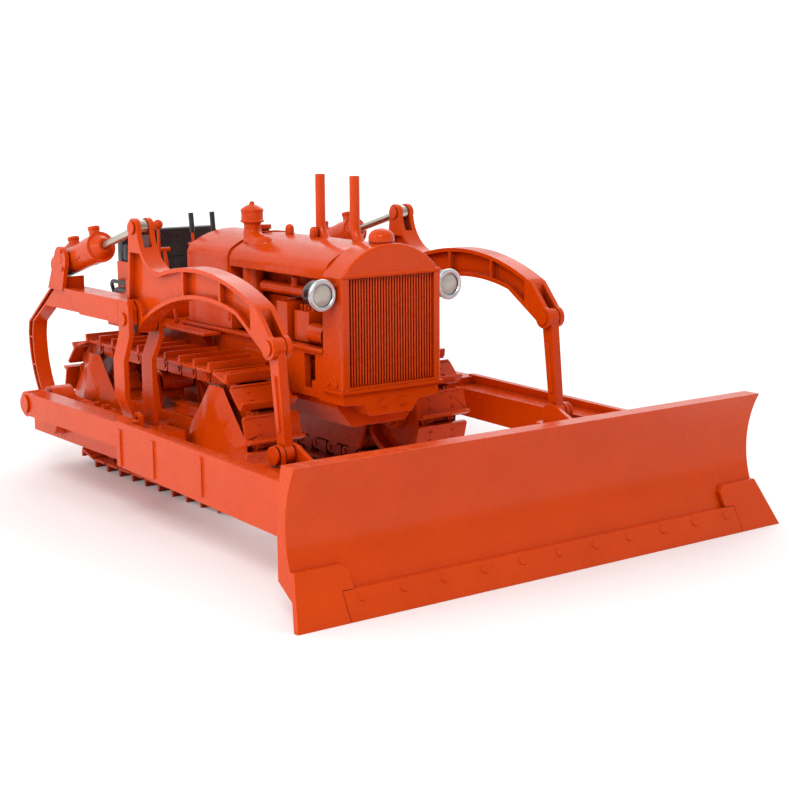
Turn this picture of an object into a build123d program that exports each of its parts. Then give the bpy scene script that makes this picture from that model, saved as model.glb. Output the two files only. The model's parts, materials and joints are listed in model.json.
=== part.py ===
from build123d import *
import os
from math import atan2, cos, degrees, hypot, pi, sin

# Scale model of a crawler tractor with a hydraulic bulldozer blade, in millimetres.
# +Z is up, the blade is at the -Y end, and +X is the driver's left.
# The origin is on the ground, under the middle of the whole model.

os.makedirs("parts", exist_ok=True)

# ------------------------------------------------------------------ driving dimensions
# Tracks
GAUGE = 54.0                  # centre line of the machine to the middle of a track
PITCH = 15.5                  # track pin to track pin
TURN_LINKS = 12               # links in one full turn of a wheel
RUN_LINKS = 9                 # links in each straight run
LINK_IN = 3.2                 # link edge inside the pin line
LINK_OUT = 4.5                # link edge outside the pin line
SHOE_T = 1.4                  # shoe plate
GROUSER_H = 3.8               # grouser above the shoe plate
SHOE_W = 33.4                 # shoe across the track
BUSH_R = 2.0                  # track bushing
PIN_CIRCLE = PITCH / (2 * sin(pi / TURN_LINKS))
AXLE_Z = PIN_CIRCLE + LINK_OUT + SHOE_T + GROUSER_H
IDLER_Y = 2.5
SPROCKET_Y = IDLER_Y + RUN_LINKS * PITCH
RAIL_IN = 5.0                 # inner face of a link pair, from the middle of the track
RAIL_MID = 7.1
RAIL_OUT = 9.2
SKIRT_IN = 11.0               # track frame side plates
SKIRT_OUT = 13.0
ROLLER_R = 6.5
ROLLERS = 4

# Blade and its linkage: pivots are (Y, Z)
REACH = 192.3                 # origin to the cutting edge, and to the drawbar's end
ARM_PIN = (128.5, 45.0)       # push arm to side rail
LIFT_PIVOT = (47.5, 99.5)     # lift arm to upright
LIFT_TIP = (-85.0, 99.0)      # lift arm to link
LINK_FOOT = (-90.9, 49.3)     # link to push arm bracket
LIFT_EAR = (45.5, 147.0)      # lift arm to piston rod
TRUNNION = (123.5, 125.06)    # cylinder to its bracket
BLADE_HALF = 138.5
BLADE_TOP = 66.0
LIFT_X = 84.5                 # middle of lift arm, link, rod and cylinder
LIFT_W = 10.5                 # lift arm across its flanges
ARM_OUT = 117.0               # outer face of the push arm

# Tractor body
HOOD_HALF = 29.0
HOOD_LOW = 123.0
HOOD_CROWN = 140.0
RAD_HALF = 31.0
RAD_FRONT = -60.5
RAD_BACK = -43.5
RAD_LOW = 67.0
GRILLE_HALF = 26.6
GRILLE_LOW = 70.0
GRILLE_TOP = 124.6
RAIL_TOP = 88.0
COWL_FRONT = 50.0
COWL_BACK = 100.0
DECK_Z = 84.5

RUN_GAP = 0.06                # radial clearance of a running fit
SIDES = (("left", 1), ("right", -1))


# ------------------------------------------------------------------ helpers
def block(x, y, z, mode=Mode.ADD):
    """A box between two limits on each axis, in the part being built."""
    with Locations(((x[0] + x[1]) / 2, (y[0] + y[1]) / 2, (z[0] + z[1]) / 2)):
        Box(abs(x[1] - x[0]), abs(y[1] - y[0]), abs(z[1] - z[0]), mode=mode)


def bar_x(x, centre, radius, mode=Mode.ADD):
    """A round bar across the machine, centred on a (Y, Z) point."""
    with Locations(Location(((x[0] + x[1]) / 2, centre[0], centre[1]), (0, 90, 0))):
        Cylinder(radius, abs(x[1] - x[0]), mode=mode)


def bar_y(y, centre, radius, mode=Mode.ADD):
    """A round bar along the machine, centred on an (X, Z) point."""
    with Locations(Location((centre[0], (y[0] + y[1]) / 2, centre[1]), (90, 0, 0))):
        Cylinder(radius, abs(y[1] - y[0]), mode=mode)


def bar_z(z, centre, radius, mode=Mode.ADD):
    """An upright round bar, centred on an (X, Y) point."""
    with Locations((centre[0], centre[1], (z[0] + z[1]) / 2)):
        Cylinder(radius, abs(z[1] - z[0]), mode=mode)


def side_plate(x, points, mode=Mode.ADD):
    """A plate between two X limits with a straight-edged (Y, Z) outline."""
    with BuildSketch(Plane.YZ.offset(min(x))) as outline:
        with BuildLine():
            Polyline(*points, close=True)
        make_face()
    extrude(outline.sketch, amount=abs(x[1] - x[0]), mode=mode)


def front_plate(y, points, mode=Mode.ADD):
    """A plate between two Y limits with a straight-edged (X, Z) outline."""
    with BuildSketch(Plane.XZ.offset(-max(y))) as outline:
        with BuildLine():
            Polyline(*points, close=True)
        make_face()
    extrude(outline.sketch, amount=abs(y[1] - y[0]), mode=mode)


def round_end(x, start, end, half, mode=Mode.ADD):
    """A flat bar with round ends between two (Y, Z) points, between two X limits."""
    middle = ((start[0] + end[0]) / 2, (start[1] + end[1]) / 2)
    run = hypot(end[0] - start[0], end[1] - start[1])
    turn = degrees(atan2(end[1] - start[1], end[0] - start[0]))
    with BuildSketch(Plane.YZ.offset(min(x))) as outline:
        with Locations(middle):
            SlotCenterToCenter(run, 2 * half, rotation=turn)
    extrude(outline.sketch, amount=abs(x[1] - x[0]), mode=mode)


def mirrored(part):
    """The same part on the other side of the machine."""
    return mirror(part, about=Plane.YZ, mode=Mode.PRIVATE)


def on_side(part, side):
    """A part modelled on the left, put on the side asked for (+1 left, -1 right)."""
    return part if side > 0 else mirrored(part)


# ------------------------------------------------------------------ main frame
FRAME_IN = 26.0
FRAME_OUT = 30.0
FRAME_Z = (62.0, RAIL_TOP)
PAN_Z = 47.0

with BuildPart() as main_frame:
    for side in (1, -1):
        block((side * FRAME_IN, side * FRAME_OUT), (RAD_BACK, COWL_BACK), FRAME_Z)
        block((side * FRAME_IN, side * (FRAME_OUT + 2.0)), (RAD_BACK, COWL_BACK), (RAIL_TOP - 1.8, RAIL_TOP))
        block((side * 20, side * 32), (-34.2, -24.2), (70.6, 84.0), mode=Mode.SUBTRACT)
        block((side * 20, side * 32), (-31.0, -24.2), (66.0, 78.0), mode=Mode.SUBTRACT)
        block((side * FRAME_OUT, side * (FRAME_OUT + 1.2)), (6.0, 34.0), (64.0, 80.0))
        for bolt_y in (10.0, 30.0):
            bar_x((side * FRAME_OUT, side * (FRAME_OUT + 2.2)), (bolt_y, 76.0), 1.6)
    # belly pan under the engine, with sloping sides
    pan = [(-26, 66), (-26, 58), (-17, PAN_Z), (17, PAN_Z), (26, 58), (26, 66)]
    front_plate((-48.0, COWL_BACK), pan)
    front_plate((-46.0, COWL_BACK), [(-23, 68), (-23, 60), (-15, 50), (15, 50), (23, 60), (23, 68)],
                mode=Mode.SUBTRACT)
    # nose plate under the radiator, stepped at its lower edge
    nose = [(-30, RAD_LOW), (-30, 61), (-17, 60), (-13, 54), (13, 54), (17, 60), (30, 61), (30, RAD_LOW)]
    front_plate((RAD_FRONT + 1.0, RAD_BACK + 6.0), nose)
    bar_y((RAD_FRONT - 0.4, RAD_FRONT + 2.0), (6.0, 60.0), 1.7)
    bar_y((RAD_FRONT - 0.4, RAD_FRONT + 2.0), (-6.0, 60.0), 1.7)
    # cross tube that carries the front of the track frames
    bar_x((-(GAUGE - SKIRT_OUT), GAUGE - SKIRT_OUT), (44.0, 42.0), 5.0)
    block((-14, 14), (38.0, 50.0), (42.0, 52.0))
    main_frame.part.label = "main_frame"
export_step(main_frame.part, "parts/main_frame.step")

# ------------------------------------------------------------------ transmission case
CASE_HALF = 25.5
CASE_BACK = 163.0
DRIVE_R = 21.0                # final drive housing
SHAFT_R = 6.0                 # sprocket shaft
SHAFT_END = GAUGE + 9.0

with BuildPart() as transmission_case:
    with BuildSketch(Plane.XZ.offset(-COWL_BACK)) as case_outline:
        with BuildLine():
            Polyline((-CASE_HALF, 60), (-CASE_HALF, 80), (-20, DECK_Z), (20, DECK_Z), (CASE_HALF, 80),
                     (CASE_HALF, 60), (16, 36), (-16, 36), close=True)
        make_face()
    extrude(amount=-(CASE_BACK - COWL_BACK))
    back_edges = transmission_case.edges().filter_by(Plane.XZ).group_by(Axis.Y)[-1]
    fillet(back_edges, 5.0)
    for side in (1, -1):
        bar_x((side * 20, side * 39), (SPROCKET_Y, AXLE_Z), DRIVE_R)
        bar_x((side * 39, side * 42), (SPROCKET_Y, AXLE_Z), DRIVE_R - 5)
        bar_x((side * 42, side * SHAFT_END), (SPROCKET_Y, AXLE_Z), SHAFT_R)
    rear_cover = [(-15, 44), (15, 44), (18, 76), (-18, 76)]
    front_plate((CASE_BACK, CASE_BACK + 2.5), rear_cover)
    for x in (-13.5, 13.5):
        for z in (47.0, 60.0, 73.0):
            bar_y((CASE_BACK + 2.5, CASE_BACK + 3.6), (x, z), 1.5)
    bar_y((CASE_BACK + 2.5, CASE_BACK + 9.0), (0, 66.0), 4.5)
    transmission_case.part.label = "transmission_case"
export_step(transmission_case.part, "parts/transmission_case.step")

# ------------------------------------------------------------------ engine
BLOCK_HALF = 13.0
BLOCK_Y = (-34.0, 46.0)
HEAD_LOW = 108.0
HEAD_TOP = 120.0

with BuildPart() as engine_block:
    block((-BLOCK_HALF, BLOCK_HALF), BLOCK_Y, (62.0, HEAD_LOW))
    for side in (1, -1):
        for cover_y in (-24.0, -4.0, 16.0, 36.0):
            block((side * BLOCK_HALF, side * (BLOCK_HALF + 1.5)), (cover_y - 7, cover_y + 7), (78.0, 98.0))
            bar_x((side * BLOCK_HALF, side * (BLOCK_HALF + 2.5)), (cover_y, 88.0), 1.6)
    # injection pump and filter blocks on the right, with their delivery pipe stubs
    block((-24.0, -BLOCK_HALF), (-20.0, -6.0), (88.0, 104.0))
    block((-27.0, -BLOCK_HALF), (-4.0, 6.0), (88.0, 108.0))
    for pipe in range(4):
        bar_z((104.0, 107.0), (-20.0, -18.0 + 3.4 * pipe), 0.9)
    block((BLOCK_HALF, 24.0), (-18.0, 22.0), (88.0, 97.0))
    block((-11.5, 11.5), (BLOCK_Y[0] + 2, BLOCK_Y[1] - 2), (HEAD_LOW, HEAD_TOP))
    for step in range(6):
        bar_z((HEAD_TOP, HEAD_TOP + 1.6), (0, -24.0 + 12.0 * step), 2.2)
    # fan pulley boss and flywheel housing
    bar_y((BLOCK_Y[0] - 5.0, BLOCK_Y[0]), (0, 92.0), 9.0)
    block((-19, 19), (BLOCK_Y[1], BLOCK_Y[1] + 3.9), (62.0, 110.0))
    engine_block.part.label = "engine_block"
export_step(engine_block.part, "parts/engine_block.step")

MANIFOLD_X = 19.5
with BuildPart() as intake_manifolds:
    for side in (1, -1):
        bar_y((-24.0, 30.0), (side * MANIFOLD_X, 113.5), 3.0)
        for branch in range(4):
            bar_x((side * 11.5, side * MANIFOLD_X), (-18.0 + 13.0 * branch, 113.5), 2.4)
        bar_z((113.5, 120.5), (side * MANIFOLD_X, -1.0), 2.2)
    intake_manifolds.part.label = "intake_manifolds"
export_step(intake_manifolds.part, "parts/intake_manifolds.step")

CANISTER = (-20.5, 39.5)
with BuildPart() as air_cleaner:
    bar_z((RAIL_TOP, 93.0), CANISTER, 4.0)
    bar_z((93.0, 103.0), CANISTER, 5.2)
    bar_z((103.0, 104.2), CANISTER, 6.1)
    bar_z((104.2, 122.6), CANISTER, 5.8)
    air_cleaner.part.label = "air_cleaner"
export_step(air_cleaner.part, "parts/air_cleaner.step")

with BuildPart() as generator:
    bar_y((-37.0, -23.0), (-23.0, 93.5), 5.2)
    bar_y((-39.5, -37.0), (-23.0, 93.5), 3.0)
    bar_y((-23.0, -21.5), (-23.0, 93.5), 4.0)
    generator.part.label = "generator"
export_step(generator.part, "parts/generator.step")

# ------------------------------------------------------------------ radiator
ARCH_LOW = 125.0
ARCH_TOP = 141.0
BEAD_R = 1.3

with BuildPart() as radiator_shell:
    with BuildSketch(Plane.XZ.offset(-RAD_BACK)) as shell_outline:
        with BuildLine():
            Line((-RAD_HALF, RAD_LOW), (RAD_HALF, RAD_LOW))
            Line((RAD_HALF, RAD_LOW), (RAD_HALF, ARCH_LOW))
            ThreePointArc((RAD_HALF, ARCH_LOW), (0, ARCH_TOP), (-RAD_HALF, ARCH_LOW))
            Line((-RAD_HALF, ARCH_LOW), (-RAD_HALF, RAD_LOW))
        make_face()
    extrude(amount=RAD_BACK - RAD_FRONT)
    front_edges = radiator_shell.edges().group_by(Axis.Y)[0]
    fillet(front_edges, 1.4)
    block((-GRILLE_HALF, GRILLE_HALF), (RAD_FRONT - 1, RAD_BACK + 1), (GRILLE_LOW, GRILLE_TOP),
          mode=Mode.SUBTRACT)
    # bead over the grille with ball ends, base flange, and corner bolts
    bead_x = RAD_HALF - 1.5
    bar_x((-bead_x, bead_x), (RAD_FRONT + 0.3, GRILLE_TOP + 1.3), BEAD_R)
    for end_x in (bead_x, -bead_x):
        with Locations((end_x, RAD_FRONT + 0.3, GRILLE_TOP + 1.3)):
            Sphere(BEAD_R)
    block((-RAD_HALF - 0.8, RAD_HALF + 0.8), (RAD_FRONT - 0.7, RAD_BACK), (RAD_LOW, RAD_LOW + 1.5))
    for side in (1, -1):
        for bolt_y in (-55.5, -48.5):
            bar_x((side * RAD_HALF, side * (RAD_HALF + 0.9)), (bolt_y, 121.5), 1.1)
            bar_x((side * RAD_HALF, side * (RAD_HALF + 0.9)), (bolt_y, 71.5), 1.1)
        bar_y((RAD_FRONT - 0.8, RAD_FRONT + 1), (side * (RAD_HALF - 2.3), 68.6), 0.9)
    radiator_shell.part.label = "radiator_shell"
export_step(radiator_shell.part, "parts/radiator_shell.step")

CORE_FRONT = RAD_FRONT + 3.2
with BuildPart() as radiator_core:
    block((-GRILLE_HALF, GRILLE_HALF), (CORE_FRONT, RAD_BACK - 2.0), (GRILLE_LOW, GRILLE_TOP))
    radiator_core.part.label = "radiator_core"
export_step(radiator_core.part, "parts/radiator_core.step")

GRILLE_BARS = 31
BAR_PITCH = 2 * GRILLE_HALF / GRILLE_BARS
with BuildPart() as radiator_grille:
    for index in range(GRILLE_BARS):
        bar_at = -GRILLE_HALF + BAR_PITCH * (index + 0.5)
        block((bar_at - 0.5, bar_at + 0.5), (RAD_FRONT + 1.0, CORE_FRONT), (GRILLE_LOW, GRILLE_TOP))
    for rail in (GRILLE_LOW, GRILLE_TOP - 1.2):
        block((-GRILLE_HALF, GRILLE_HALF), (RAD_FRONT + 2.2, CORE_FRONT), (rail, rail + 1.2))
    radiator_grille.part.label = "radiator_grille"
export_step(radiator_grille.part, "parts/radiator_grille.step")

# ------------------------------------------------------------------ hood and cowl
ARCH_SPRING = 130.2           # where the hood's side would meet its arch
SHOULDER_R = 8.0
HOOD_T = 1.6


def hood_section(y, low, inset):
    """Arched (X, Z) section of the hood at one Y, drawn in by inset, as a sketch."""
    half = HOOD_HALF - inset
    spring = ARCH_SPRING - inset
    with BuildSketch(Plane.XZ.offset(-y)) as section:
        with BuildLine():
            Polyline((-half, spring), (-half, low), (half, low), (half, spring))
            ThreePointArc((half, spring), (0, HOOD_CROWN - inset), (-half, spring))
        make_face()
        fillet(section.vertices().group_by(Axis.Y)[-1], SHOULDER_R)
    return section.sketch


with BuildPart() as hood:
    extrude(hood_section(COWL_FRONT, HOOD_LOW, 0), amount=COWL_FRONT - RAD_BACK)
    extrude(hood_section(COWL_FRONT, HOOD_LOW - 5, HOOD_T), amount=COWL_FRONT - RAD_BACK, mode=Mode.SUBTRACT)
    hood.part.label = "hood"
export_step(hood.part, "parts/hood.step")

with BuildPart() as cowl:
    extrude(hood_section(COWL_BACK, RAIL_TOP, 0.3), amount=COWL_BACK - COWL_FRONT)
    rear_arch = cowl.edges().group_by(Axis.Y)[-1].sort_by(Axis.Z)[1:]
    fillet(rear_arch, 3.0)
    # joint bead where the hood meets the cowl
    extrude(hood_section(COWL_FRONT + 3.0, HOOD_LOW - 30, -0.7), amount=1.6)
    cowl.part.label = "cowl"
export_step(cowl.part, "parts/cowl.step")

# ------------------------------------------------------------------ caps, stacks, precleaner
CAP_Y = -51.5
CAP_R = 6.6
CAP_TOP = 147.4
with BuildPart() as filler_caps:
    bar_z((ARCH_TOP - 1.5, CAP_TOP), (0, CAP_Y), CAP_R)
    fillet(filler_caps.edges().group_by(Axis.Z)[-1], 2.6)
    bar_z((CAP_TOP - 0.6, CAP_TOP + 0.6), (0, CAP_Y), CAP_R - 3.2)
    bar_z((HOOD_CROWN - 1.0, 141.0), (0, 60.5), 3.0)
    bar_z((141.0, 143.6), (0, 60.5), 4.1)
    for knob_y in (32.0, 8.0):
        bar_z((HOOD_CROWN - 1.0, 143.0), (-1.0, knob_y + 0.5), 2.4)
        with Locations((-1.0, knob_y + 0.5, 143.0)):
            Sphere(2.4)
    filler_caps.part.label = "filler_caps"
export_step(filler_caps.part, "parts/filler_caps.step")

STACK_X = 4.0
STACK_R = 2.65
STACK_TOP = 173.0
ELBOW_TOP = 149.5
with BuildPart() as exhaust_stacks:
    for stack_y in (9.5, -22.5):
        with BuildLine(Plane.YZ.offset(STACK_X)) as pipe_run:
            Line((stack_y, STACK_TOP), (stack_y, ELBOW_TOP))
            TangentArc((stack_y, ELBOW_TOP), (stack_y - 7.5, HOOD_CROWN - 1.0), tangent=(0, -1))
        with BuildSketch(Plane.XY.offset(STACK_TOP)) as pipe_end:
            with Locations((STACK_X, stack_y)):
                Circle(STACK_R)
        sweep(sections=pipe_end.sketch, path=pipe_run.line)
        bar_z((STACK_TOP - 8, STACK_TOP + 1), (STACK_X, stack_y), STACK_R - 0.7, mode=Mode.SUBTRACT)
    exhaust_stacks.part.label = "exhaust_stacks"
export_step(exhaust_stacks.part, "parts/exhaust_stacks.step")

INTAKE_AT = (-16.5, 46.0)
with BuildPart() as precleaner:
    bar_z((135.5, 138.0), INTAKE_AT, 5.2)
    bar_z((138.0, 146.6), INTAKE_AT, 4.7)
    bar_z((146.6, 147.6), INTAKE_AT, 6.7)
    bar_z((147.6, 152.4), INTAKE_AT, 6.1)
    bar_z((152.4, 153.4), INTAKE_AT, 6.4)
    with Locations((INTAKE_AT[0], INTAKE_AT[1], 154.6)):
        Cone(5.6, 2.2, 2.4)
    bar_z((155.8, 157.8), INTAKE_AT, 1.3)
    precleaner.part.label = "precleaner"
export_step(precleaner.part, "parts/precleaner.step")

# ------------------------------------------------------------------ headlights
LAMP_X = 39.6
LAMP_Z = 117.2
LAMP_FRONT = -57.5
with BuildPart() as headlight_shells:
    for side in (1, -1):
        lamp = (side * LAMP_X, LAMP_Z)
        bar_y((LAMP_FRONT + 2.6, LAMP_FRONT + 8.0), lamp, 7.5)
        with Locations(Location((lamp[0], LAMP_FRONT + 10.5, LAMP_Z), (-90, 0, 0))):
            Cone(7.5, 3.6, 5.0)
        block((side * RAD_HALF, side * (LAMP_X - 4)), (-51.5, -48.5), (LAMP_Z - 1.6, LAMP_Z + 1.6))
    headlight_shells.part.label = "headlight_shells"
export_step(headlight_shells.part, "parts/headlight_shells.step")

LENS_R = 6.7
with BuildPart() as headlight_rims:
    for side in (1, -1):
        bar_y((LAMP_FRONT, LAMP_FRONT + 2.6), (side * LAMP_X, LAMP_Z), 8.1)
    fillet(headlight_rims.edges().group_by(Axis.Y)[0], 0.9)
    for side in (1, -1):
        bar_y((LAMP_FRONT - 1, LAMP_FRONT + 3), (side * LAMP_X, LAMP_Z), LENS_R, mode=Mode.SUBTRACT)
    headlight_rims.part.label = "headlight_rims"
export_step(headlight_rims.part, "parts/headlight_rims.step")

with BuildPart() as headlight_lenses:
    for side in (1, -1):
        bar_y((LAMP_FRONT + 0.9, LAMP_FRONT + 2.6), (side * LAMP_X, LAMP_Z), LENS_R - 0.1)
    fillet(headlight_lenses.edges().group_by(Axis.Y)[0], 0.6)
    headlight_lenses.part.label = "headlight_lenses"
export_step(headlight_lenses.part, "parts/headlight_lenses.step")

# ------------------------------------------------------------------ driver's place
DECK_T = 1.6
DECK_BACK = 166.0
DECK_HALF = 46.0
WING_FRONT = 56.0
with BuildPart() as operator_platform:
    block((-DECK_HALF, DECK_HALF), (COWL_BACK, DECK_BACK), (DECK_Z, DECK_Z + DECK_T))
    for side in (1, -1):
        block((side * (HOOD_HALF + 3.2), side * 43), (WING_FRONT, COWL_BACK), (DECK_Z, DECK_Z + DECK_T))
        block((side * (DECK_HALF - 1.6), side * DECK_HALF), (COWL_BACK, DECK_BACK), (80.0, DECK_Z))
        front_plate((WING_FRONT + 10, WING_FRONT + 12),
                    [(side * 32.2, DECK_Z), (side * 40, DECK_Z), (side * 36.4, 80.2), (side * 32.2, 74)])
    operator_platform.part.label = "operator_platform"
export_step(operator_platform.part, "parts/operator_platform.step")

SEAT_HALF = 35.0
SEAT_Y = (127.0, 173.0)
SEAT_FLOOR = 98.0
BOX_TOP = 117.0
BOX_T = 2.5
with BuildPart() as seat_box:
    block((-SEAT_HALF, SEAT_HALF), SEAT_Y, (DECK_Z + DECK_T, BOX_TOP))
    block((-SEAT_HALF + BOX_T, SEAT_HALF - BOX_T), (SEAT_Y[0] + BOX_T, SEAT_Y[1] - BOX_T),
          (SEAT_FLOOR, BOX_TOP + 1),
          mode=Mode.SUBTRACT)
    block((-SEAT_HALF + BOX_T, SEAT_HALF - BOX_T), (SEAT_Y[0] - 1, SEAT_Y[0] + 5), (103.0, BOX_TOP + 1),
          mode=Mode.SUBTRACT)
    # valve block beside the seat, where the hoses start
    block((-41.0, -SEAT_HALF), (138.0, 151.0), (DECK_Z + DECK_T, 108.0))
    seat_box.part.label = "seat_box"
export_step(seat_box.part, "parts/seat_box.step")

BACK_TOP = 135.5
BACK_Y = (163.5, 172.5)
WING_LOW = BOX_TOP
with BuildPart() as seat:
    # back rest with clipped top corners
    back = [(-SEAT_HALF, WING_LOW), (SEAT_HALF, WING_LOW), (SEAT_HALF, 128), (29, BACK_TOP), (-29, BACK_TOP),
            (-SEAT_HALF, 128)]
    front_plate(BACK_Y, back)
    fillet(seat.edges().filter_by(Axis.X).group_by(Axis.Z)[-1], 2.0)
    block((-32.3, 32.3), (BACK_Y[0], 170.4), (108.0, WING_LOW))
    # cushion inside the box
    block((-32.3, 32.3), (129.7, 170.4), (SEAT_FLOOR, 108.0))
    for side in (1, -1):
        arm = [(142.0, WING_LOW), (BACK_Y[0], WING_LOW), (BACK_Y[0], 128.0), (158.0, 126.5), (142.0, 121.0)]
        side_plate((side * (SEAT_HALF - 6.0), side * SEAT_HALF), arm)
        block((side * (SEAT_HALF - 6.0), side * 32.3), (142.0, BACK_Y[0]), (108.0, WING_LOW))
    seat.part.label = "seat"
export_step(seat.part, "parts/seat.step")

# ------------------------------------------------------------------ levers and hoses


def strut(start, end, radius, mode=Mode.ADD):
    """A straight round bar between two points, in the part being built."""
    run = Vector(*end) - Vector(*start)
    with Locations(Plane(origin=Vector(*start) + run / 2, z_dir=run)):
        Cylinder(radius, run.length, mode=mode)


def along(start, end, share):
    """The point that lies a share of the way from start to end."""
    return tuple(a + (b - a) * share for a, b in zip(start, end))


LEVER_TOP = 148.0
LEVER_FOOT_Y = 107.0
GRIP_SHARE = 0.82
steering = [((x, LEVER_FOOT_Y, DECK_Z + DECK_T), (x - 0.5, LEVER_FOOT_Y + 7.0, LEVER_TOP))
            for x in (-16.0, -2.0)]
KNOB_AT = (-39.0, 112.0, 142.5)
TEE_AT = (-35.5, 112.0, 128.0)

with BuildPart() as control_levers:
    for foot, top in steering:
        strut(foot, along(foot, top, GRIP_SHARE), 0.9)
    strut((KNOB_AT[0], KNOB_AT[1] - 2, DECK_Z + DECK_T), KNOB_AT, 0.9)
    with Locations(KNOB_AT):
        Sphere(2.8)
    strut((TEE_AT[0] + 3.5, TEE_AT[1] - 6, DECK_Z + DECK_T), TEE_AT, 1.1)
    strut((TEE_AT[0] - 3.5, TEE_AT[1], TEE_AT[2]), (TEE_AT[0] + 3.5, TEE_AT[1], TEE_AT[2]), 1.3)
    strut((-18.0, COWL_BACK, 131.0), (-24.0, COWL_BACK + 4.5, 131.0), 1.0)
    block((-24, 2), (LEVER_FOOT_Y - 3, LEVER_FOOT_Y + 3), (DECK_Z + DECK_T, DECK_Z + DECK_T + 2.5))
    control_levers.part.label = "control_levers"
export_step(control_levers.part, "parts/control_levers.step")

with BuildPart() as lever_grips:
    for foot, top in steering:
        strut(along(foot, top, GRIP_SHARE), top, 1.5)
    lever_grips.part.label = "lever_grips"
export_step(lever_grips.part, "parts/lever_grips.step")

HOSE_R = 1.2
hose_routes = (
    [(-38.0, 151.0, 105.0), (-38.0, 176.5, 105.0), (-30.0, 178.5, 82.0), (-10.0, 175.0, 68.0),
     (-8.0, 165.5, 66.0)],
    [(-38.0, 151.0, 100.6), (-38.0, 171.0, 100.6), (-28.0, 176.5, 76.0), (-10.0, 175.0, 59.0),
     (-8.0, 165.5, 57.0)],
)
with BuildPart() as hydraulic_hoses:
    for route in hose_routes:
        with BuildLine() as hose_run:
            FilletPolyline(*route, radius=5.0)
        start = Plane(origin=route[0], z_dir=(0, 1, 0))
        with BuildSketch(start) as hose_end:
            Circle(HOSE_R)
        sweep(sections=hose_end.sketch, path=hose_run.line)
    hydraulic_hoses.part.label = "hydraulic_hoses"
export_step(hydraulic_hoses.part, "parts/hydraulic_hoses.step")

HITCH_R = 2.1
HITCH_Y = 185.0
with BuildPart() as drawbar:
    block((-7.0, 7.0), (140.0, HITCH_Y), (30.0, 36.0))
    bar_z((30.0, 36.0), (0, HITCH_Y), REACH - HITCH_Y)
    bar_z((29.0, 37.0), (0, HITCH_Y), HITCH_R, mode=Mode.SUBTRACT)
    drawbar.part.label = "drawbar"
export_step(drawbar.part, "parts/drawbar.step")

# ------------------------------------------------------------------ track frames
ROLLER_Z = AXLE_Z - PIN_CIRCLE + LINK_IN + ROLLER_R + 0.1
ROLLER_Y = [38.0 + 21.0 * step for step in range(ROLLERS)]
ROLLER_PIN_R = 2.2
CARRIER_R = 6.0
CARRIER_Z = AXLE_Z + PIN_CIRCLE - LINK_IN - CARRIER_R - 0.1
CARRIER_Y = 72.0
IDLER_PIN_R = 4.0

with BuildPart() as frame_left:
    for face in (GAUGE - SKIRT_OUT, GAUGE + SKIRT_IN):
        wall = (face, face + SKIRT_OUT - SKIRT_IN)
        side_plate(wall, [(30, 46), (116, 46), (116, 30), (110, 15), (29, 15), (22, 32), (24, 46)])
        round_end(wall, (IDLER_Y, AXLE_Z), (40.0, AXLE_Z), 6.4)
        side_plate(wall, [(CARRIER_Y - 9, 46), (CARRIER_Y + 9, 46), (CARRIER_Y + 5, 64), (CARRIER_Y - 5, 64)])
    # the outer wall runs back to carry the sprocket's outer bearing
    round_end((GAUGE + SKIRT_IN, GAUGE + SKIRT_OUT), (100.0, AXLE_Z), (SPROCKET_Y, AXLE_Z), 6.4)
    block((GAUGE - SKIRT_IN, GAUGE + SKIRT_IN), (32.0, 106.0), (42.0, 46.0))
    block((GAUGE - 4, GAUGE + 4), (34.0, 104.0), (46.0, 49.0))
    for roller_y in ROLLER_Y:
        bar_x((GAUGE - 20, GAUGE + 20), (roller_y, ROLLER_Z), ROLLER_PIN_R, mode=Mode.SUBTRACT)
    bar_x((GAUGE - 20, GAUGE + 20), (CARRIER_Y, CARRIER_Z), ROLLER_PIN_R, mode=Mode.SUBTRACT)
    bar_x((GAUGE - 20, GAUGE + 20), (IDLER_Y, AXLE_Z), IDLER_PIN_R, mode=Mode.SUBTRACT)

with BuildPart() as track_frames:
    add(frame_left.part)
    add(mirrored(frame_left.part))
    track_frames.part.label = "track_frames"
export_step(track_frames.part, "parts/track_frames.step")

# ------------------------------------------------------------------ track chains and shoes


def track_places():
    """Where each link goes: a plane at its middle, X across, Y out of the loop, Z along the run."""
    places = []
    step = 2 * pi / TURN_LINKS
    for link in range(RUN_LINKS):
        along_run = IDLER_Y + PITCH * (link + 0.5)
        places.append(((along_run, AXLE_Z - PIN_CIRCLE), 270.0))
        places.append(((along_run, AXLE_Z + PIN_CIRCLE), 90.0))
    chord = PIN_CIRCLE * cos(step / 2)
    for link in range(TURN_LINKS // 2):
        angle = -pi / 2 + step * (link + 0.5)
        places.append(((SPROCKET_Y + chord * cos(angle), AXLE_Z + chord * sin(angle)), degrees(angle)))
        angle += pi
        places.append(((IDLER_Y + chord * cos(angle), AXLE_Z + chord * sin(angle)), degrees(angle)))
    return places


def on_track(piece, side):
    """Copies of a piece, made at the origin, for every link of the track on one side."""
    copies = []
    for centre, turn in track_places():
        copies.append(piece.moved(Location((side * GAUGE, centre[0], centre[1]), (turn - 90.0, 0, 0))))
    return copies


with BuildPart() as link:
    for side in (1, -1):
        inner = (side * RAIL_IN, side * (RAIL_MID - 0.1))
        outer = (side * (RAIL_MID + 0.1), side * RAIL_OUT)
        bar_x(inner, (PITCH / 2, 0), LINK_IN)
        bar_x(outer, (-PITCH / 2, 0), LINK_IN)
        block(inner, (0, PITCH / 2), (-LINK_IN, LINK_IN))
        block(outer, (-PITCH / 2, 0), (-LINK_IN, LINK_IN))
        block((side * RAIL_IN, side * RAIL_OUT), (-PITCH / 2 + 4.0, PITCH / 2 - 4.0), (-LINK_IN, LINK_OUT))
        bar_x((side * RAIL_OUT, side * (RAIL_OUT + 0.7)), (-PITCH / 2, 0), 1.5)
    bar_x((-RAIL_IN, RAIL_IN), (PITCH / 2, 0), BUSH_R)

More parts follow.
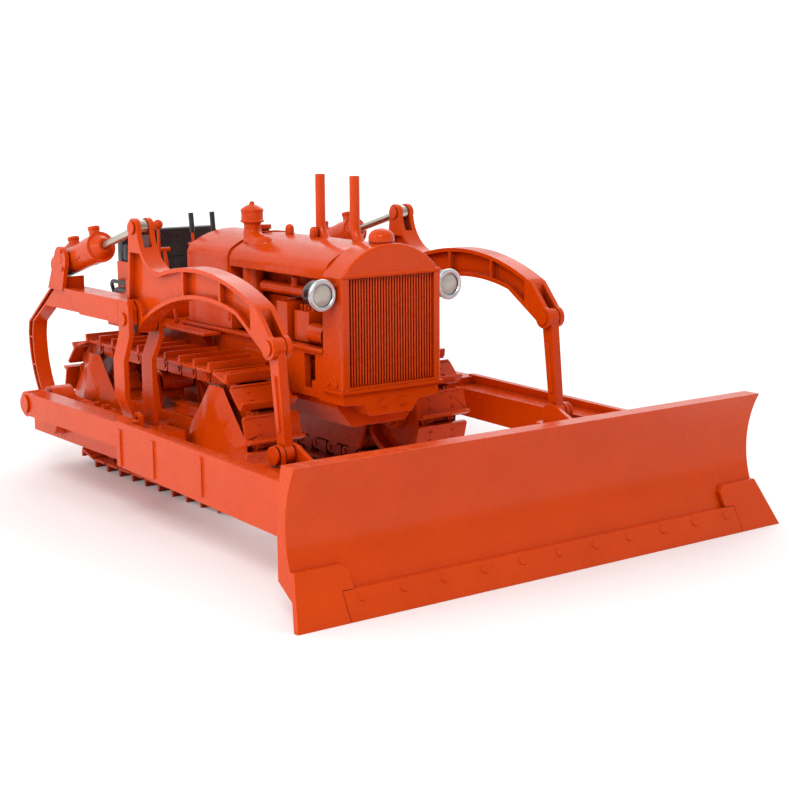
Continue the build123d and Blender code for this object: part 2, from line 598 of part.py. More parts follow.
with BuildPart() as track_chains:
    for side_name, side in SIDES:
        add(on_track(link.part, side))
    track_chains.part.label = "track_chains"
export_step(track_chains.part, "parts/track_chains.step")

SHOE_LEN = PITCH - 0.6
with BuildPart() as shoe:
    base = LINK_OUT
    half = SHOE_W / 2
    block((-half, half), (-SHOE_LEN / 2, SHOE_LEN / 2), (base, base + SHOE_T))
    chamfer(shoe.edges().filter_by(Axis.Z), 1.3)
    top = base + SHOE_T
    lead = -SHOE_LEN / 2
    side_plate((-half + 0.4, half - 0.4), [(lead + 0.2, top - 0.1), (lead + 2.9, top - 0.1),
                                           (lead + 2.2, top + GROUSER_H), (lead + 0.8, top + GROUSER_H)])
    block((-half + 1.0, half - 1.0), (SHOE_LEN / 2 - 1.2, SHOE_LEN / 2), (top, top + 0.7))
    for bolt_x in (-7.6, 7.6):
        for bolt_y in (-1.8, 3.0):
            bar_z((top, top + 0.7), (bolt_x, bolt_y), 0.9)

with BuildPart() as track_shoes:
    for side_name, side in SIDES:
        add(on_track(shoe.part, side))
    track_shoes.part.label = "track_shoes"
export_step(track_shoes.part, "parts/track_shoes.step")

# ------------------------------------------------------------------ track guards


def tent(y, base, crest):
    """A faceted cover on the outer wall of a left track frame, centred on one Y."""
    with BuildSketch(Plane.YZ.offset(GAUGE + SKIRT_OUT)) as foot_outline:
        with BuildLine():
            Polyline(*[(y + dy, z) for dy, z in base], close=True)
        make_face()
    with BuildSketch(Plane.YZ.offset(GUARD_OUT)) as crest_outline:
        with BuildLine():
            Polyline(*[(y + dy, z) for dy, z in crest], close=True)
        make_face()
    loft([foot_outline.sketch, crest_outline.sketch], ruled=True)


GUARD_OUT = GAUGE + SHOE_W / 2 - 0.4
GUARD_FOOT = [(-29, 27), (29, 27), (30, 41), (17, 55), (7, 67), (-7, 67), (-17, 55), (-30, 41)]
IDLER_CREST = [(-24, 29), (24, 29), (24, 38), (9, 45), (3, 58), (-3, 58), (-9, 45), (-24, 38)]
SPROCKET_CREST = [(-13, 29), (13, 29), (14, 34), (7, 47), (3, 60), (-3, 60), (-7, 47), (-14, 34)]

with BuildPart() as guards_left:
    tent(IDLER_Y, GUARD_FOOT, IDLER_CREST)
    tent(SPROCKET_Y, GUARD_FOOT, SPROCKET_CREST)
    bar_x((GUARD_OUT - 2, GUARD_OUT + 0.6), (SPROCKET_Y, AXLE_Z + 2), 4.0)
    for bolt in range(4):
        bar_x((GUARD_OUT, GUARD_OUT + 0.6), (IDLER_Y - 15 + 10 * bolt, 31.5), 1.3)

with BuildPart() as track_guards:
    add(guards_left.part)
    add(mirrored(guards_left.part))
    track_guards.part.label = "track_guards"
export_step(track_guards.part, "parts/track_guards.step")

# ------------------------------------------------------------------ dozer side frames
RAIL_X = (76.0, 96.0)
RAIL_Y = (20.0, 166.0)
SIDE_RAIL_TOP = 42.0
PIN_HOUSE_X = (90.0, 103.0)
ARM_PIN_R = 3.6

with BuildPart() as rail_left:
    block(RAIL_X, RAIL_Y, (22.0, SIDE_RAIL_TOP))
    for arm_y in (57.0, 93.0):
        block((GAUGE + SKIRT_OUT, RAIL_X[0]), (arm_y - 5, arm_y + 5), (26.0, 40.0))
    # house of the push arm's rear pin
    round_end(PIN_HOUSE_X, (ARM_PIN[0], 34.0), ARM_PIN, 8.5)
    bar_x((RAIL_X[0], PIN_HOUSE_X[1] + 1), ARM_PIN, ARM_PIN_R, mode=Mode.SUBTRACT)
    # lifting eye in front of the upright's foot, and a raised strip along the top
    round_end((93.5, 96.0), (36.5, SIDE_RAIL_TOP - 2), (36.5, 47.5), 4.0)
    bar_x((93.0, 97.0), (36.5, 47.5), 1.7, mode=Mode.SUBTRACT)
    block((85.0, 90.5), (60.0, 116.0), (SIDE_RAIL_TOP, SIDE_RAIL_TOP + 1.4))
    for bolt_y in (70.0, 100.0, 112.0):
        bar_z((SIDE_RAIL_TOP, SIDE_RAIL_TOP + 2.6), (81.0, bolt_y), 1.8)

with BuildPart() as side_rails:
    add(rail_left.part)
    add(mirrored(rail_left.part))
    side_rails.part.label = "side_rails"
export_step(side_rails.part, "parts/side_rails.step")

UPRIGHT_W = 12.0
UPRIGHT_T = 3.0
PIVOT_R = 3.0
OUTER_HEAD_X = 92.8
INNER_HEAD_X = 75.2
BOX_IN = 76.2                 # inner side of the upper beam's box
BEAM_X = (90.3, OUTER_HEAD_X)
BEAM_Z = (96.8, 109.4)
BEAM_END = ((150.0, BEAM_Z[0]), (132.2, BEAM_Z[1]))    # slanted joint with the rear leg


def bent_plate(stations):
    """Left-hand upright of flat bar, through (X, Z) stations of its inner face."""
    outer = [(x + UPRIGHT_T, z) for x, z in reversed(stations)]
    front_plate((LIFT_PIVOT[0] - UPRIGHT_W / 2, LIFT_PIVOT[0] + UPRIGHT_W / 2), stations + outer)
    head = (stations[-1][0], stations[-1][0] + UPRIGHT_T)
    rear = LIFT_PIVOT[0] + UPRIGHT_W / 2
    front = LIFT_PIVOT[0] - UPRIGHT_W / 2
    corner = BEAM_Z[1] - UPRIGHT_W / 3
    side_plate(head, [(front, LIFT_PIVOT[1]), (rear, LIFT_PIVOT[1]), (rear, BEAM_Z[1]),
                      (front + 4, BEAM_Z[1]), (front + 1.2, BEAM_Z[1] - 1.2), (front, corner)])
    bar_x((head[0] - 1, head[1] + 1), LIFT_PIVOT, PIVOT_R, mode=Mode.SUBTRACT)


with BuildPart() as outer_upright:
    bent_plate([(92.0, SIDE_RAIL_TOP), (92.0, 47.6), (96.4, 59.0), (96.4, 78.0), (OUTER_HEAD_X, 91.0),
                (OUTER_HEAD_X, LIFT_PIVOT[1])])

with BuildPart() as inner_upright:
    bent_plate([(80.0, SIDE_RAIL_TOP), (80.0, 78.0), (INNER_HEAD_X, 89.0), (INNER_HEAD_X, LIFT_PIVOT[1])])

LEG_X = (84.0, 92.8)
LEG_WEB = 3.0
with BuildPart() as rear_upright:
    with BuildSketch(Plane.YZ.offset(LEG_X[0])) as leg_outline:
        with BuildLine():
            Polyline((157, SIDE_RAIL_TOP), (163.6, SIDE_RAIL_TOP))
            ThreePointArc((163.6, SIDE_RAIL_TOP), (173.0, 60), (175.8, 79))
            Polyline((175.8, 79), (174.4, 85.4), (140.8, BEAM_Z[1]), BEAM_END[1], BEAM_END[0],
                     (167.6, 85.4), (169.2, 79))
            ThreePointArc((169.2, 79), (166.8, 60), (157, SIDE_RAIL_TOP))
        make_face()
    extrude(amount=LEG_X[1] - LEG_X[0])
    pocket_depth = (LEG_X[1] - LEG_X[0] - LEG_WEB) / 2
    pocket = offset(leg_outline.sketch, amount=-1.4, mode=Mode.PRIVATE)
    extrude(pocket, amount=pocket_depth, mode=Mode.SUBTRACT)
    extrude(pocket.moved(Location((LEG_X[1] - LEG_X[0] - pocket_depth, 0, 0))), amount=pocket_depth,
            mode=Mode.SUBTRACT)
    for rib in ((172.3, 76.0), (169.8, 60.0)):
        block(LEG_X, (rib[0] - 2.6, rib[0] + 2.6), (rib[1] - 0.5, rib[1] + 0.5))

with BuildPart() as uprights:
    for piece in (outer_upright, inner_upright, rear_upright):
        add(piece.part)
        add(mirrored(piece.part))
    uprights.part.label = "uprights"
export_step(uprights.part, "parts/uprights.step")

TRUNNION_R = 2.4
BOSS_X = (LIFT_X - 2.0, 92.4)  # trunnion boss of the cylinder
BRACKET_X = (OUTER_HEAD_X, 95.2)
PEDESTAL_IN = 81.0
CHEEK_X = (OUTER_HEAD_X, OUTER_HEAD_X + UPRIGHT_T)
with BuildPart() as beam_left:
    beam_front = LIFT_PIVOT[0] - UPRIGHT_W / 2
    side_plate(BEAM_X, [(beam_front + 1, BEAM_Z[0]), *BEAM_END, (beam_front + 5, BEAM_Z[1]),
                        (beam_front + 1, BEAM_Z[1] - 4)])
    side_plate((BOX_IN, BEAM_X[0]), [(64.0, BEAM_Z[0] + 0.6), (149.1, BEAM_Z[0] + 0.6),
                                     (134.1, BEAM_Z[1] - 1.4), (64.0, BEAM_Z[1] - 1.4)])
    # cheek plate flush with the upright's head, cut off at a slant behind
    side_plate(CHEEK_X, [(LIFT_PIVOT[0] + UPRIGHT_W / 2, BEAM_Z[0]), (99.2, BEAM_Z[0]), (119.0, BEAM_Z[1]),
                         (LIFT_PIVOT[0] + UPRIGHT_W / 2, BEAM_Z[1])])
    # the cylinder's bracket: an outer plate that leans forward, and a pedestal under the tail
    side_plate(BRACKET_X, [(122, BEAM_Z[1] - 1.6), (140.4, BEAM_Z[1] - 1.6), (TRUNNION[0] + 7.0, TRUNNION[1] + 2),
                           (TRUNNION[0] - 7.2, TRUNNION[1])])
    bar_x(BRACKET_X, TRUNNION, 7.3)
    side_plate((PEDESTAL_IN, BRACKET_X[0]), [(123.0, BEAM_Z[1]), (138.0, BEAM_Z[1]), (138.0, 111.4),
                                             (123.0, 115.4)])
    block((PEDESTAL_IN, BRACKET_X[0]), (123.0, 131.0), (BEAM_Z[1] - 3, BEAM_Z[1]))
    for bolt in ((TRUNNION[0] - 2.0, TRUNNION[1] + 4.6), (TRUNNION[0] - 3.0, TRUNNION[1] - 5.0)):
        bar_x((BRACKET_X[1], BRACKET_X[1] + 0.8), bolt, 1.2)
    bar_x((BRACKET_X[0] - 1, BRACKET_X[1] + 1), TRUNNION, TRUNNION_R, mode=Mode.SUBTRACT)
    bar_x((BEAM_X[0] - 1, BEAM_X[1] + 1), LIFT_PIVOT, PIVOT_R, mode=Mode.SUBTRACT)

with BuildPart() as upper_beams:
    add(beam_left.part)
    add(mirrored(beam_left.part))
    upper_beams.part.label = "upper_beams"
export_step(upper_beams.part, "parts/upper_beams.step")

ARM_LUG_X = (105.0, ARM_OUT)
with BuildPart() as pins_left:
    bar_x((INNER_HEAD_X - 0.8, OUTER_HEAD_X + UPRIGHT_T + 0.2), LIFT_PIVOT, PIVOT_R)
    bar_x((OUTER_HEAD_X + UPRIGHT_T, OUTER_HEAD_X + UPRIGHT_T + 1.1), LIFT_PIVOT, 3.4)
    bar_x((RAIL_X[0] + 14, ARM_OUT + 0.2), ARM_PIN, ARM_PIN_R)
    bar_x((ARM_OUT + 0.1, ARM_OUT + 1.4), ARM_PIN, 5.0)
    bar_x((BOSS_X[0], BRACKET_X[1] + 0.3), TRUNNION, TRUNNION_R)
    wall = (GAUGE - SKIRT_OUT, GAUGE + SKIRT_OUT)
    for roller_y in ROLLER_Y:
        bar_x(wall, (roller_y, ROLLER_Z), ROLLER_PIN_R)
    bar_x(wall, (CARRIER_Y, CARRIER_Z), ROLLER_PIN_R)
    bar_x(wall, (IDLER_Y, AXLE_Z), IDLER_PIN_R)

with BuildPart() as pivot_pins:
    add(pins_left.part)
    add(mirrored(pins_left.part))
    pivot_pins.part.label = "pivot_pins"
export_step(pivot_pins.part, "parts/pivot_pins.step")

# ------------------------------------------------------------------ track wheels
TEETH = 2 * TURN_LINKS
TOOTH_TIP = PIN_CIRCLE - BUSH_R - 0.3    # short of the bushings, as the chain stays still
GULLET_R = 2.6
with BuildPart() as sprocket_left:
    with BuildSketch(Plane.YZ.offset(GAUGE - 4.0)) as teeth:
        with Locations((SPROCKET_Y, AXLE_Z)):
            Circle(TOOTH_TIP)
            with PolarLocations(TOOTH_TIP + 1.0, TEETH):
                Circle(GULLET_R, mode=Mode.SUBTRACT)
            with PolarLocations(17.0, 6):
                Circle(4.2, mode=Mode.SUBTRACT)
    extrude(amount=8.0)
    bar_x((GAUGE - 11.0, GAUGE + 9.0), (SPROCKET_Y, AXLE_Z), 10.0)
    bar_x((GAUGE - 12.0, GAUGE + 10.0), (SPROCKET_Y, AXLE_Z), SHAFT_R + RUN_GAP, mode=Mode.SUBTRACT)

IDLER_R = PIN_CIRCLE * cos(pi / TURN_LINKS) - LINK_IN - 0.15
with BuildPart() as idler_left:
    bar_x((GAUGE - RAIL_OUT, GAUGE + RAIL_OUT), (IDLER_Y, AXLE_Z), IDLER_R)
    bar_x((GAUGE - RAIL_IN + 0.6, GAUGE + RAIL_IN - 0.6), (IDLER_Y, AXLE_Z), IDLER_R + 1.8)
    for face in (GAUGE - RAIL_OUT - 1, GAUGE + 3.5):
        bar_x((face, face + RAIL_OUT - 2.5), (IDLER_Y, AXLE_Z), IDLER_R - 3.4, mode=Mode.SUBTRACT)
    bar_x((GAUGE - RAIL_OUT - 1, GAUGE + RAIL_OUT + 1), (IDLER_Y, AXLE_Z), 9.0)
    bar_x((GAUGE - 12, GAUGE + 12), (IDLER_Y, AXLE_Z), IDLER_PIN_R + RUN_GAP, mode=Mode.SUBTRACT)


def spool(centre, radius, flange):
    """A track roller on one (Y, Z) centre of the left track."""
    with BuildPart() as roller:
        bar_x((GAUGE - RAIL_OUT - 0.2, GAUGE + RAIL_OUT + 0.2), centre, radius)
        if flange:
            for side in (1, -1):
                rim = GAUGE + side * (RAIL_OUT + 1.6)
                bar_x((rim - side * 0.6, rim), centre, radius + 1.0)
                bar_x((rim - side * 2.6, rim), centre, radius)
        bar_x((GAUGE - RAIL_IN + 0.8, GAUGE + RAIL_IN - 0.8), centre, radius + 0.6)
        bar_x((GAUGE - 14, GAUGE + 14), centre, ROLLER_PIN_R + RUN_GAP, mode=Mode.SUBTRACT)
    return roller


carrier_left = spool((CARRIER_Y, CARRIER_Z), CARRIER_R, False)
for side_name, side in SIDES:
    with BuildPart() as sprocket:
        add(on_side(sprocket_left.part, side))
        sprocket.part.label = f"sprocket_{side_name}"
    export_step(sprocket.part, f"parts/sprocket_{side_name}.step")
    with BuildPart() as idler:
        add(on_side(idler_left.part, side))
        idler.part.label = f"idler_{side_name}"
    export_step(idler.part, f"parts/idler_{side_name}.step")
    with BuildPart() as carrier_roller:
        add(on_side(carrier_left.part, side))
        carrier_roller.part.label = f"carrier_roller_{side_name}"
    export_step(carrier_roller.part, f"parts/carrier_roller_{side_name}.step")
    for index, roller_y in enumerate(ROLLER_Y, start=1):
        roller_left = spool((roller_y, ROLLER_Z), ROLLER_R, True)
        with BuildPart() as track_roller:
            add(on_side(roller_left.part, side))
            track_roller.part.label = f"track_roller_{side_name}_{index}"
        export_step(track_roller.part, f"parts/track_roller_{side_name}_{index}.step")

# ------------------------------------------------------------------ blade
LIP = (-185.0, 8.0)           # mouldboard's lower front corner
EDGE_SEAT = (-177.4, 22.0)    # top of the flat that the cutting edges bolt to
EDGE_SLOPE = (EDGE_SEAT[0] - LIP[0]) / (EDGE_SEAT[1] - LIP[1])
HOLLOW = (-174.5, 37.0)       # deepest point of the mouldboard's face
CREST = (-181.9, BLADE_TOP)
BOARD_T = 3.0
END_T = 2.5
BACK_Y = -166.0               # back of the stiffener, where the push arms land


def board_front():
    """The mouldboard's face from its lip to its crest, in the line being drawn."""
    Line(LIP, EDGE_SEAT)
    ThreePointArc(EDGE_SEAT, HOLLOW, CREST)


with BuildPart() as blade:
    with BuildSketch(Plane.YZ.offset(-BLADE_HALF)) as board:
        with BuildLine():
            board_front()
            Line(CREST, (CREST[0] + BOARD_T, CREST[1]))
            ThreePointArc((CREST[0] + BOARD_T, CREST[1]), (HOLLOW[0] + BOARD_T, HOLLOW[1]),
                          (EDGE_SEAT[0] + BOARD_T, EDGE_SEAT[1]))
            Line((EDGE_SEAT[0] + BOARD_T, EDGE_SEAT[1]), (LIP[0] + BOARD_T, LIP[1]))
            Line((LIP[0] + BOARD_T, LIP[1]), LIP)
        make_face()
    extrude(amount=2 * BLADE_HALF)
    for end_x in (-BLADE_HALF, BLADE_HALF - END_T):
        with BuildSketch(Plane.YZ.offset(end_x)) as end_plate:
            with BuildLine():
                board_front()
                Polyline(CREST, (-172, BLADE_TOP), (-168, 50), (-168, 16), (-180, 8), LIP)
            make_face()
        extrude(end_plate.sketch, amount=END_T)
    stiffener = (-BLADE_HALF + END_T, BLADE_HALF - END_T)
    side_plate(stiffener, [(-179.5, 14), (BACK_Y, 14), (BACK_Y, 50), (-174, 50), (-173, 36)])
    block(stiffener, (-179, -172), (BLADE_TOP - 4, BLADE_TOP))
    for rib in range(-4, 5):
        side_plate((28.0 * rib - 1, 28.0 * rib + 1), [(-174, 50), (-168, 50), (-173, 62), (-178, 62)])
    blade.part.label = "blade"
export_step(blade.part, "parts/blade.step")

STRIP_HALF = 118.0
STRIP_TOP = 12.0
BIT_TOP = EDGE_SEAT[1]
BIT_TIP = 144.8


def edge_section(top):
    """Cross-section of a cutting edge plate that lies on the mouldboard's lower flat."""
    back = [(LIP[0] + EDGE_SLOPE * (z - LIP[1]), z) for z in (0, top)]
    front = [(-REACH + EDGE_SLOPE * z, z) for z in (top, 0)]
    return back + front


with BuildPart() as end_bit:
    side_plate((112, BIT_TIP), edge_section(BIT_TOP))
    front_plate((-REACH - 1, BACK_Y), [(STRIP_HALF + 0.2, 0), (BIT_TIP, 0), (BLADE_HALF, BIT_TOP),
                                       (115, BIT_TOP), (112, BIT_TOP - 3), (112, STRIP_TOP + 0.2),
                                       (STRIP_HALF + 0.2, STRIP_TOP + 0.2)], mode=Mode.INTERSECT)

with BuildPart() as cutting_edges:
    side_plate((-STRIP_HALF, STRIP_HALF), edge_section(STRIP_TOP))
    add(end_bit.part)
    add(mirrored(end_bit.part))
    bolt_z = 8.6
    for bolt in range(-5, 6):
        head = (22.0 * bolt, -REACH + EDGE_SLOPE * bolt_z, bolt_z)
        strut(head, (head[0], head[1] - 0.6, head[2] + 0.6 * EDGE_SLOPE), 1.7)
    cutting_edges.part.label = "cutting_edges"
export_step(cutting_edges.part, "parts/cutting_edges.step")

# ------------------------------------------------------------------ push arms
PLATE_X = (113.0, ARM_OUT)
CHANNEL_X = (99.5, PLATE_X[0])
STEP_Y = 14.5                 # where the slim rear beam meets the tall front plate
SHELF_Z = (41.0, 44.0)
LINK_PIN_R = 2.2
EAR_GAP = 2.9                 # half the gap between the bracket's ears

with BuildPart() as arm_left:
    bar_x(ARM_LUG_X, ARM_PIN, 7.2)
    side_plate(ARM_LUG_X, [(STEP_Y, 38.5), (ARM_PIN[0], 38.5), (ARM_PIN[0], 51.5), (STEP_Y, 51.5)])
    side_plate(PLATE_X, [(STEP_Y + 4, 29), (STEP_Y + 4, 52.5), (0, 52), (BACK_Y, 48.5), (BACK_Y, 23),
                         (-20, 28)])
    side_plate(CHANNEL_X, [(STEP_Y, 31), (STEP_Y, 47), (BACK_Y, 45), (BACK_Y, 27)])
    for strap_y in (12.5, -22.5, -69.5):
        block((ARM_OUT, ARM_OUT + 1), (strap_y, strap_y + 3), (29.5, 48.5))
    # shelf that carries the lift link's bracket
    with BuildSketch(Plane.XY.offset(SHELF_Z[0])) as shelf:
        with BuildLine():
            Polyline((CHANNEL_X[0], -78), (76, -84), (74, BACK_Y), (CHANNEL_X[0], BACK_Y), close=True)
        make_face()
    extrude(shelf.sketch, amount=SHELF_Z[1] - SHELF_Z[0])
    inner_ear = (LIFT_X - EAR_GAP - 2.5, LIFT_X - EAR_GAP)
    outer_ear = (LIFT_X + EAR_GAP, LIFT_X + EAR_GAP + 2.5)
    for ear in (inner_ear, outer_ear):
        round_end(ear, (LINK_FOOT[0], SHELF_Z[1]), LINK_FOOT, 5.0)
    side_plate(inner_ear, [(-86, SHELF_Z[1]), (-86, 52), (-94, 54), (-118, SHELF_Z[1])])
    bar_x((inner_ear[0], outer_ear[1] + 0.8), LINK_FOOT, LINK_PIN_R)
    bar_x((outer_ear[1] + 0.8, outer_ear[1] + 2.2), LINK_FOOT, 4.6)
    bar_x((RAIL_X[1], ARM_OUT + 1), ARM_PIN, ARM_PIN_R + RUN_GAP, mode=Mode.SUBTRACT)

for side_name, side in SIDES:
    with BuildPart() as push_arm:
        add(on_side(arm_left.part, side))
        push_arm.part.label = f"push_arm_{side_name}"
    export_step(push_arm.part, f"parts/push_arm_{side_name}.step")

# ------------------------------------------------------------------ lift arms and links
ARM_X = (LIFT_X - LIFT_W / 2, LIFT_X + LIFT_W / 2)
HUB_R = 8.0
TIP_R = 5.6
EAR_R = 5.0
FLANGE = 2.2
WEB = 3.0
EYE_PIN_R = 2.0
OPEN_EYE = 0.42               # extra radius of the ear's hole, which takes up the linkage's play
OPEN_FOOT = 0.55              # the same in the foot of the lift link

with BuildPart() as lift_arm_left:
    with BuildSketch(Plane.YZ.offset(ARM_X[0])) as web_outline:
        with BuildLine():
            Line((-88, 102.6), (-75.4, 116.9))
            ThreePointArc((-75.4, 116.9), (-28, 130.3), (20, 125.4))
            ThreePointArc((20, 125.4), (33.5, 131.5), (40.9, LIFT_EAR[1]))
            Polyline((40.9, LIFT_EAR[1]), (50.1, LIFT_EAR[1]), (54.8, LIFT_PIVOT[1]), (44.5, 94))
            ThreePointArc((44.5, 94), (-5, 114), (-56.8, 111.5))
            Polyline((-56.8, 111.5), (-82.4, 95.4), (-88, 102.6))
        make_face()
    extrude(web_outline.sketch, amount=LIFT_W)
    with BuildSketch(Plane.YZ.offset(ARM_X[0])) as pocket_outline:
        add(web_outline.sketch_local)
        offset(amount=-FLANGE, mode=Mode.REPLACE)
        with Locations(LIFT_PIVOT):
            Circle(HUB_R + 2, mode=Mode.SUBTRACT)
        with Locations((LIFT_TIP[0], 110)):
            Rectangle(30, 40, mode=Mode.SUBTRACT)
        with Locations((LIFT_EAR[0], LIFT_EAR[1] + 2)):
            Rectangle(30, 30, mode=Mode.SUBTRACT)
        with Locations((-6, 120), (-42, 120)):
            Rectangle(1.8, 40, mode=Mode.SUBTRACT)
    depth = (LIFT_W - WEB) / 2
    extrude(pocket_outline.sketch, amount=depth, mode=Mode.SUBTRACT)
    extrude(pocket_outline.sketch.moved(Location((LIFT_W - depth, 0, 0))), amount=depth, mode=Mode.SUBTRACT)
    bar_x(ARM_X, LIFT_PIVOT, HUB_R)
    bar_x(ARM_X, LIFT_TIP, TIP_R)
    bar_x(ARM_X, LIFT_EAR, EAR_R)
    block((LIFT_X - 2.6, LIFT_X + 2.6), (-92, -76), (92, 118), mode=Mode.SUBTRACT)
    block((LIFT_X - 2.3, LIFT_X + 2.3), (38, 53), (136.5, 154), mode=Mode.SUBTRACT)
    reach_x = (ARM_X[0] - 1, ARM_X[1] + 1)
    bar_x(reach_x, LIFT_PIVOT, PIVOT_R + RUN_GAP, mode=Mode.SUBTRACT)
    bar_x(reach_x, LIFT_TIP, LINK_PIN_R, mode=Mode.SUBTRACT)
    bar_x(reach_x, LIFT_EAR, EYE_PIN_R + OPEN_EYE, mode=Mode.SUBTRACT)

with BuildPart() as tip_pin_left:
    bar_x(ARM_X, LIFT_TIP, LINK_PIN_R)
    for side in (1, -1):
        bar_x((LIFT_X + side * LIFT_W / 2, LIFT_X + side * (LIFT_W / 2 + 1.0)), LIFT_TIP, 3.7)

BOSS_R = 4.9
BOSS_HALF = 2.4
with BuildPart() as lift_link_left:
    boss_x = (LIFT_X - BOSS_HALF, LIFT_X + BOSS_HALF)
    bar_x(boss_x, LIFT_TIP, BOSS_R)
    bar_x(boss_x, LINK_FOOT, BOSS_R)
    side_plate(boss_x, [(LIFT_TIP[0] - 4, LIFT_TIP[1]), (LIFT_TIP[0] + 4, LIFT_TIP[1]),
                        (LINK_FOOT[0] + 3.2, LINK_FOOT[1]), (LINK_FOOT[0] - 3.2, LINK_FOOT[1])])
    # raised ridge down the middle of both faces
    side_plate((LIFT_X - 3.6, LIFT_X + 3.6), [(-87.8, 86), (-84.8, 86), (-88.6, 60), (-91.2, 60)])
    hole_x = (LIFT_X - 4, LIFT_X + 4)
    bar_x(hole_x, LIFT_TIP, LINK_PIN_R + RUN_GAP, mode=Mode.SUBTRACT)
    bar_x(hole_x, LINK_FOOT, LINK_PIN_R + OPEN_FOOT, mode=Mode.SUBTRACT)

# ------------------------------------------------------------------ lift cylinders
STROKE_LINE = hypot(LIFT_EAR[0] - TRUNNION[0], LIFT_EAR[1] - TRUNNION[1])
AXIS_Y = (LIFT_EAR[0] - TRUNNION[0]) / STROKE_LINE
AXIS_Z = (LIFT_EAR[1] - TRUNNION[1]) / STROKE_LINE
BARREL_R = 7.5
BORE_R = 6.0
ROD_R = 2.1
TAIL_END = -22.0              # runs along the axis from the trunnion
BORE = (5.5, 30.0)
PISTON = (20.8, 24.0)
CAP_FACE = 32.1
GLAND_FACE = 36.7
PORTS = (-0.6, 26.4)


def on_axis(run, rise=0.0, x=LIFT_X):
    """A point a distance along the cylinder's axis from its trunnion, and a height above it."""
    return (x, TRUNNION[0] + AXIS_Y * run + AXIS_Z * rise, TRUNNION[1] + AXIS_Z * run - AXIS_Y * rise)


with BuildPart() as cylinder_left:
    bar_x(BOSS_X, TRUNNION, 5.0)
    strut(on_axis(TAIL_END + 2), on_axis(CAP_FACE - 1), BARREL_R)
    strut(on_axis(TAIL_END), on_axis(TAIL_END + 2), BARREL_R - 1.5)
    strut(on_axis(19.3), on_axis(CAP_FACE - 1), BARREL_R + 0.5)
    strut(on_axis(CAP_FACE - 2.6), on_axis(CAP_FACE), BARREL_R + 1.0)
    with Locations(Plane(origin=on_axis((CAP_FACE + GLAND_FACE) / 2), z_dir=(0, AXIS_Y, AXIS_Z))):
        Cone(6.8, 3.8, GLAND_FACE - CAP_FACE)
    for port in PORTS:
        strut(on_axis(port, BARREL_R - 1), on_axis(port, 10.6), 3.0)
        strut(on_axis(port, 10.6), on_axis(port, 12.4), 3.3)
    # pipe from the rear port to the tail, and a thin rib along the barrel's outer side
    strut(on_axis(PORTS[0], 9.2), on_axis(-17, 6.2), 2.2)
    strut(on_axis(7.5, -2.2, LIFT_X + 7.2), on_axis(19, -2.2, LIFT_X + 7.2), 0.6)
    strut(on_axis(BORE[0]), on_axis(BORE[1]), BORE_R, mode=Mode.SUBTRACT)
    strut(on_axis(BORE[1] - 1), on_axis(GLAND_FACE + 1), ROD_R + RUN_GAP, mode=Mode.SUBTRACT)
    bar_x((BOSS_X[0], BOSS_X[1] + 1), TRUNNION, TRUNNION_R + RUN_GAP, mode=Mode.SUBTRACT)

with BuildPart() as rod_left:
    strut(on_axis(PISTON[0]), on_axis(PISTON[1]), BORE_R - RUN_GAP)
    strut(on_axis(PISTON[0]), on_axis(STROKE_LINE), ROD_R)
    bar_x((LIFT_X - 2.0, LIFT_X + 2.0), LIFT_EAR, 4.0)
    bar_x((LIFT_X - 6.4, LIFT_X + 6.4), LIFT_EAR, EYE_PIN_R)
    for side in (1, -1):
        bar_x((LIFT_X + side * 5.5, LIFT_X + side * 6.6), LIFT_EAR, 3.4)

for side_name, side in SIDES:
    with BuildPart() as lift_arm:
        add(on_side(lift_arm_left.part, side))
        lift_arm.part.label = f"lift_arm_{side_name}"
    export_step(lift_arm.part, f"parts/lift_arm_{side_name}.step")
    with BuildPart() as link_pin:
        add(on_side(tip_pin_left.part, side))
        link_pin.part.label = f"link_pin_{side_name}"
    export_step(link_pin.part, f"parts/link_pin_{side_name}.step")
    with BuildPart() as lift_link:
        add(on_side(lift_link_left.part, side))
        lift_link.part.label = f"lift_link_{side_name}"
    export_step(lift_link.part, f"parts/lift_link_{side_name}.step")
    with BuildPart() as lift_cylinder:
        add(on_side(cylinder_left.part, side))
        lift_cylinder.part.label = f"cylinder_{side_name}"
    export_step(lift_cylinder.part, f"parts/cylinder_{side_name}.step")
    with BuildPart() as rod:
        add(on_side(rod_left.part, side))
        rod.part.label = f"rod_{side_name}"
    export_step(rod.part, f"parts/rod_{side_name}.step")
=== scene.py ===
"""Toy bulldozer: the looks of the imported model, in metres, in the model's own frame."""
import json
import math

import bmesh
import bpy
from mathutils import Matrix, Vector


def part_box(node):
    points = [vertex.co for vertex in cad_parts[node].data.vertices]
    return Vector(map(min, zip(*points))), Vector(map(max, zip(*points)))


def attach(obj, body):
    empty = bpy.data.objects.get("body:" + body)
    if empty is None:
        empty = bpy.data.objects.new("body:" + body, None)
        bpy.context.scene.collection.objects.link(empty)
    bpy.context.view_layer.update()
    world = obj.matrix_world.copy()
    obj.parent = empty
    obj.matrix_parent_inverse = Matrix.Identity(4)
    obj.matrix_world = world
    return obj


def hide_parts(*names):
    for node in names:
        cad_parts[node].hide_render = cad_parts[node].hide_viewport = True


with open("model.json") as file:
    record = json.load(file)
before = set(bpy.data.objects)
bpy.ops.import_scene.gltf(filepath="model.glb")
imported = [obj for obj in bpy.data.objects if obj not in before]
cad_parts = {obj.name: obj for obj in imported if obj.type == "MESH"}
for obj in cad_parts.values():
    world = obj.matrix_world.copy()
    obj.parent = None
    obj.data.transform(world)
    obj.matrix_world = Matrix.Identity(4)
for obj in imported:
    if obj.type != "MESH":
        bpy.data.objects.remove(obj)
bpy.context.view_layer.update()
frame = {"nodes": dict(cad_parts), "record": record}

MM = 0.001
AREA_SLACK = 0.06              # how much of its area a rounded copy may gain or lose

